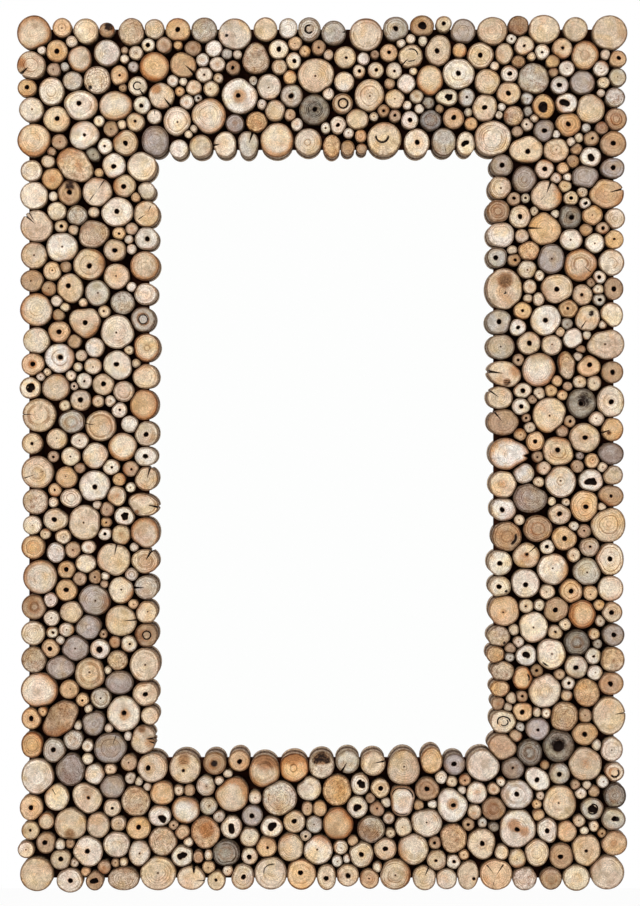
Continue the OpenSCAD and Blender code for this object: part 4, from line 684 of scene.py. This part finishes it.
class Slice:
    """One branch slice as a closed mesh of rings and columns round its pith"""

    def __init__(self, outline, front, back, spot, look):
        self.tone, self.mark = look
        self.spot, self.front, self.back = spot, front, back
        # The place gives each slice a seed of its own
        self.rng = rng = np.random.default_rng((spot[0] + 1000) * 2003 + spot[1] + 1000)
        middle = (outline.min(0) + outline.max(0)) / 2
        self.mean_r = mean_r = np.hypot(*(outline - middle).T).mean()
        self.pith = middle + np.array(PITHS.get(spot, rng.normal(0, 0.045, 2) * mean_r))
        count = next(n for least, n in COLUMNS if mean_r > least)
        self.cracks = [(*crack[:3], crack[3] * CRACK_GAPE) for crack in CRACKS.get(spot, [])]
        self.arcs = [(*arc[:3], arc[3] * ARC_GAPE) for arc in ARCS.get(spot, [])]
        angles, self.in_crack, self.which = columns(count, self.cracks, mean_r)
        self.turn = np.radians(angles)
        far = np.minimum(reach(outline, self.pith, angles), eased(outline, self.pith, angles))
        self.far = far * bent(angles, rng, FORMS.get(spot))
        for k, (_, _, end, width) in enumerate(self.cracks):
            if end == 1:
                self.far = self.far - np.where(self.which == k, self.in_crack, 0) * width * 0.9
        self.tilt = rng.uniform(0, 0.035)
        self.tilt_turn = rng.uniform(0, 2 * math.pi)
        self.dome = rng.uniform(0.05, 0.1) * mean_r
        self.wave = rng.uniform(0.05, 0.16) * (2.2 if self.mark in "mwB" else 1)
        self.waves = rng.uniform(0.2, 0.55, 2)
        self.phases = rng.uniform(0, 2 * math.pi, 2)
        self.rim = min(rng.uniform(1.2, 2.2), 0.3 * mean_r)
        self.lean_stain = rng.choice([0, 0.3, 0.6, 0.9], p=[0.4, 0.3, 0.2, 0.1])
        self.open_r = self.hole()
        self.rows = []
        self.build()

    def hole(self):
        """Radius of the hole in each direction, or None"""
        if self.mark == "H":
            size = self.rng.uniform(0.27, 0.38) * self.mean_r
            uneven = 0.32
        elif self.mark in HOLE_R:
            low, high, least, most = HOLE_R[self.mark]
            size = min(max(self.rng.uniform(low, high) * self.mean_r, least), most, 0.45 * self.mean_r)
            uneven = 0.13
        else:
            return None
        shape = np.ones_like(self.turn)
        for waves, share in ((1, 0.6), (2, 1.0), (3, 0.4), (5, 0.3)):
            high = uneven * share * self.rng.random()
            shape += high * np.cos(waves * self.turn + 6.3 * self.rng.random())
        return size * shape

    def sink(self, r):
        """How far the face lies behind the front plane at distance r from the pith"""
        x = r * np.cos(self.turn)
        z = r * np.sin(self.turn)
        lean = self.tilt * (x * math.cos(self.tilt_turn) + z * math.sin(self.tilt_turn) + self.mean_r)
        x, z = x * self.waves[0] + self.phases[0], z * self.waves[1] + self.phases[1]
        return lean + self.wave * (np.sin(x) * np.cos(z) + 1) + self.dome * (r / self.far) ** 3

    def row(self, r, sink, dark=0.0, side=0.0):
        """Adds a ring of vertices, sunk so many mm behind the front plane"""
        share = r / self.far
        for k, (_, start, end, width) in enumerate(self.cracks):
            window = smooth(share, start - 0.04, start + 0.22)
            if end < 1:
                window = window * smooth(share, end + 0.03, end - 0.12)
            if side:
                window = window * max(0.0, 1 - side / 9)
            deep = np.where(self.which == k, self.in_crack, 0) * window
            sink = sink + deep * min(5.0, 1.2 + 1.8 * width)
            # Painted shade: the crack darkens with its depth
            dark = np.maximum(dark, deep)
        if not side:
            for at, start, end, width in self.arcs:
                turn = np.degrees(self.turn)
                off = np.minimum((turn - start) % 360, (end - turn) % 360)
                off = off + (360 if end - start >= 360 else 0)
                inside = ((turn - start) % 360) < (end - start)
                across = 1 - np.clip(np.abs(r - at * self.far) / (width / 2), 0, 1)
                deep = across * smooth(np.where(inside, off, 0), 0, 25)
                sink = sink + deep * min(3.0, 0.8 + 1.2 * width)
                # Painted shade: the curved crack darkens with its depth
                dark = np.maximum(dark, np.sqrt(deep))
        self.rows.append((r, self.front + sink, np.broadcast_to(dark, r.shape), side))

    def build(self):
        """Rings from the hole or the pith over the face and the worn rim down to the board"""
        far, hole = self.far, self.open_r
        inner = flat = np.zeros_like(far)
        if hole is not None:
            deep = HOLE_DEEP[self.mark]
            # Painted shade: the walls and bottom of the hole are near black, and its lip is a little dark
            self.row(hole * 0.5, flat + deep, 1.0)
            self.row(hole * 0.86, flat + deep * 0.8, 1.0)
            self.row(hole * 0.96, self.sink(hole) + deep * 0.25, 1.0)
            self.row(hole, self.sink(hole) + 0.3, 0.9)
            inner = hole + LIP
            self.row(inner, self.sink(hole), 0.22)
        shares = [s for s in FACE_SHARES if s > (0.05 if hole is not None else 0)]
        for at, _, _, width in self.arcs:
            wide = width / 2 / self.mean_r
            shares = [s for s in shares if abs(s - at) > wide * 1.3]
            shares += [at + wide * k for k in (-1, -0.45, 0, 0.45, 1)]
        limit = far - self.rim
        for share in sorted(shares):
            r = inner + (limit - inner) * share if not self.arcs else np.clip(far * share, inner, limit)
            self.row(r, self.sink(r))
        for share in RIM_SHARES:
            r = far - self.rim * share
            drop = self.rim * RIM_DROP * (1 - math.sqrt(1 - (1 - share) ** 2))
            self.row(r, self.sink(r) + drop)
        rim_sink = self.sink(far) + self.rim * RIM_DROP
        ribs = (1 + np.sin(self.turn * self.rng.integers(4, 8) + self.phases[0])) * 0.12
        waist = self.rng.uniform(0.0, 0.035) * self.mean_r
        for level in SIDE_LEVELS:
            sink = rim_sink + level
            bulge = waist * math.sin(level / 9 + self.phases[1]) ** 2
            self.row(far - ribs * min(1, level / 2) - bulge, sink, 0.0, level)
        self.rows.append((far - ribs - waist * 0.5, flat + self.back, flat, SIDE_LEVELS[-1]))

    def stain(self, x, z, share):
        """How stained the face is at each vertex"""
        amount = np.zeros_like(x)
        turn = np.arctan2(z, x)
        if self.mark == "s":
            amount += 0.7 * np.exp(-((share / 0.42) ** 2))
        if self.mark == "r":
            lean = 0.5 + 0.5 * np.cos(turn - self.phases[0])
            amount += smooth(share, 0.5, 0.95) * (0.45 + 0.5 * lean)
        if self.mark == "T":
            amount += 0.6 * np.exp(-(((share - 0.45) / 0.14) ** 2))
        lean = share * np.cos(turn - self.phases[1])
        amount += self.lean_stain * smooth(lean, 0.1, 1.0)
        if self.open_r is not None:
            amount += 0.7 * smooth(share * self.far - self.open_r, 1.6, 0)
        if self.mark == "m":
            for _ in range(3):
                bx, bz = self.rng.normal(0, 0.45, 2) * self.mean_r
                amount += 0.3 * np.exp(-((x - bx) ** 2 + (z - bz) ** 2) / (0.3 * self.mean_r) ** 2)
        return amount

    def mesh(self):
        """Vertices, faces and attributes"""
        rng, far = self.rng, self.far
        r, y, dark, level = (np.array(values) for values in zip(*self.rows))
        rings, count = r.shape
        x = r * np.cos(self.turn)
        z = r * np.sin(self.turn)
        share = r / far
        face = level[:, None] == 0
        edge = np.where(face, np.maximum(far - r, 0), -level[:, None])
        side = np.repeat(smooth(level, -0.2, 1.4), count).reshape(r.shape)
        side[level == 0] = smooth(share[level == 0], 0.985, 1.06) * 0.6
        stain = self.stain(x, z, share)
        offset = self.pith - np.array(self.spot)
        for px, pz, size, much, black in PATCHES.get(self.spot, []):
            off = (x + offset[0] - px) ** 2 + (z + offset[1] - pz) ** 2
            near = np.exp(-((off / size**2) ** 2)) * face
            stain = stain + much * near
            dark = np.maximum(dark, black * near)
        if self.tone in WEATHER:
            plain, rim = WEATHER[self.tone]
            dark = np.maximum(dark, (plain + rim * smooth(share, 0.4, 1.0)) * face)
        px, pz = self.pith
        points = np.stack([x + px, y, z + pz], -1).reshape(-1, 3)
        points = np.vstack([points, [px, y[0].mean(), pz]]) * MM
        ring = np.arange(rings - 1)[:, None] * count
        here = np.arange(count)
        beside = (here + 1) % count
        quads = (ring + here, ring + beside, ring + count + beside, ring + count + here)
        quads = np.stack(quads, -1).reshape(-1, 4)
        hub = np.stack([np.full(count, rings * count), beside, here], -1)
        base = (rings - 1) * count + here

        def full(values, middle):
            return np.append(values.ravel(), middle)

        warmth = rng.normal(0, WARMTH_SPREAD)
        tone = np.array(TONES[self.tone]) + rng.normal(0, TONE_SPREAD)
        tone = tone + np.array([0.4, 0, -1]) * warmth
        tone = np.array(linear(*(tone * min(1, 250 / tone.max()))))
        seed = rng.uniform(-5, 5, 3)
        strong = self.mark == "T"
        spacing = 1.8 if strong else rng.uniform(1.1, 2.0)
        ring_depth = 0.9 if strong else rng.uniform(0.3, 0.85)
        ray_depth = rng.choice([0.0, 0.15, 0.4], p=[0.4, 0.35, 0.25])
        mottle = rng.uniform(*BLOTCHES.get(self.tone, (0, 0.22)))
        mottle = {"m": 0.8, "B": 0.4}.get(self.mark, mottle)
        n = len(points)
        return {
            "points": points, "quads": quads, "hub": hub, "base": base,
            "tone": np.tile(np.append(tone, 1), (n, 1)),
            "place": points - np.array([px, 0, pz]) * MM + seed,
            "marks": np.stack([full(stain, stain[0].mean()), full(dark, dark[0].max()),
                full(side, side[0, 0]), np.full(n, ray_depth)], -1),
            "spoke": np.stack([full(5 * np.cos(self.turn) + 0 * r, 0),
                full(5 * np.sin(self.turn) + 0 * r, 0), full(share, 0) + seed[0]], -1),
            "ring": full(share * self.mean_r / spacing, 0),
            "edge": full(edge, edge[0].mean()),
            "rim": full(edge / min(max(0.26 * self.mean_r, 1.0), 3.4), edge[0].mean()),
            "ring_depth": np.full(n, ring_depth), "mottle": np.full(n, mottle),
        }


# Attributes of the joined meshes, with the kind and the field of each
ATTRIBUTES = {
    **dict.fromkeys(("tone", "marks"), ("FLOAT_COLOR", "color")),
    **dict.fromkeys(("place", "spoke"), ("FLOAT_VECTOR", "vector")),
    **dict.fromkeys(("ring", "edge", "rim", "ring_depth", "mottle"), ("FLOAT", "value")),
}


def join(parts, name):
    """One object from the meshes of many slices"""
    points = np.vstack([p["points"] for p in parts])
    starts = np.cumsum([0] + [len(p["points"]) for p in parts[:-1]])
    corners = []
    sizes = []
    for start, p in zip(starts, parts):
        corners += [(p["quads"] + start).ravel(), (p["hub"] + start).ravel(), p["base"] + start]
        sizes += [np.full(len(p["quads"]), 4), np.full(len(p["hub"]), 3), [len(p["base"])]]
    corners = np.concatenate(corners)
    sizes = np.concatenate(sizes)
    mesh = bpy.data.meshes.new(name)
    mesh.vertices.add(len(points))
    mesh.vertices.foreach_set("co", points.ravel())
    mesh.loops.add(len(corners))
    mesh.loops.foreach_set("vertex_index", corners.astype(np.int32))
    mesh.polygons.add(len(sizes))
    mesh.polygons.foreach_set("loop_start", (np.cumsum(sizes) - sizes).astype(np.int32))
    mesh.polygons.foreach_set("use_smooth", np.ones(len(sizes), bool))
    mesh.update(calc_edges=True)
    for key, (kind, field) in ATTRIBUTES.items():
        values = np.concatenate([p[key] for p in parts]).ravel()
        mesh.attributes.new(key, kind, "POINT").data.foreach_set(field, values)
    mesh.validate()
    return add_object(name, mesh)


def add_slices(frame, material):
    spots = np.array([s for places in LOOKS.values() for s in places])
    looks = [look for look, places in LOOKS.items() for _ in places]
    for name, ob in frame["nodes"].items():
        if not name.endswith(("_row", "_infill")):
            continue
        parts = []
        for outline, front, back in solids(ob):
            middle = (outline.min(0) + outline.max(0)) / 2
            near = np.argmin(np.hypot(*(spots - middle).T))
            spot = tuple(int(v) for v in spots[near])
            parts.append(Slice(outline, front, back, spot, looks[near]).mesh())
        piece = join(parts, name + "_wood")
        piece.data.materials.append(material)
        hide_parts(name)
        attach(piece, "frame")


def dress_nodes(frame):
    """Gives the carried-over nodes their materials, by the last word of their names"""
    steel = metal("steel", linear(192, 192, 192), linear(148, 146, 142), 0.3)
    finish = {
        "stile": stained_board("upright_board", (260, 260, 14)),
        "rail": stained_board("level_board", (14, 260, 260)),
        "glass": mirror(), "sheet": paper(), "panel": hardboard(),
        "button": metal("brass", linear(214, 176, 104), linear(160, 122, 66), 0.24),
        "screws": metal("zinc", linear(206, 206, 204), linear(168, 166, 160), 0.26),
        "strap": steel, "ring": steel, "pads": rubber(),
    }
    for name, ob in frame["nodes"].items():
        kind = name.split("_")[-1]
        if kind in finish:
            ob.data.materials.clear()
            ob.data.materials.append(finish[kind])


# Stage
def add_floor():
    mesh = bpy.data.meshes.new("floor")
    corners = ((-1, -1), (1, -1), (1, 1), (-1, 1))
    points = [(x * FLOOR_HALF, y * FLOOR_HALF, -HANG_HEIGHT) for x, y in corners]
    mesh.from_pydata(points, [], [(0, 1, 2, 3)])
    tree = Tree("floor")
    tree.finish(Base_Color=linear(235, 234, 232), Roughness=0.9)
    glow = tree.add("Emission", {"Strength": 1.15})
    shares = {0: tree.times(tree.seen(), 0.78), 1: tree.shader.outputs[0], 2: glow.outputs[0]}
    tree.put(tree.nodes["Material Output"].inputs["Surface"], tree.add("MixShader", shares).outputs[0])
    mesh.materials.append(tree.owner)
    add_object("floor", mesh)


def light_world():
    tree = Tree("studio", "worlds", "Background")
    tree.finish(Color=(1.0, 1.0, 1.0), Strength=tree.line(tree.seen(), 1 - AMBIENT, AMBIENT))
    bpy.context.scene.world = tree.owner


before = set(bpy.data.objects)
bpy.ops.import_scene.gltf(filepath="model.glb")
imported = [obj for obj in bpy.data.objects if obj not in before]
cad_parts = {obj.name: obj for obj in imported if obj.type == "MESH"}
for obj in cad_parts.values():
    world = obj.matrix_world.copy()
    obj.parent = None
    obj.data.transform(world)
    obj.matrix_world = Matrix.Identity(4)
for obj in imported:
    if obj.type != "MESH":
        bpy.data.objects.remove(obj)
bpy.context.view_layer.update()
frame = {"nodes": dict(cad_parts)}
add_camera()
bpy.context.scene.view_settings.view_transform = "Standard"
light_world()
add_floor()
add_lamp("key", (-1.5, -3.2, 2.2), 2.0, 85)
add_lamp("fill", (1.9, -3.0, 0.2), 2.0, 22)
add_lamp("back_key", (1.4, 3.2, 1.6), 2.0, 70)
add_slices(frame, slice_wood())
dress_nodes(frame)
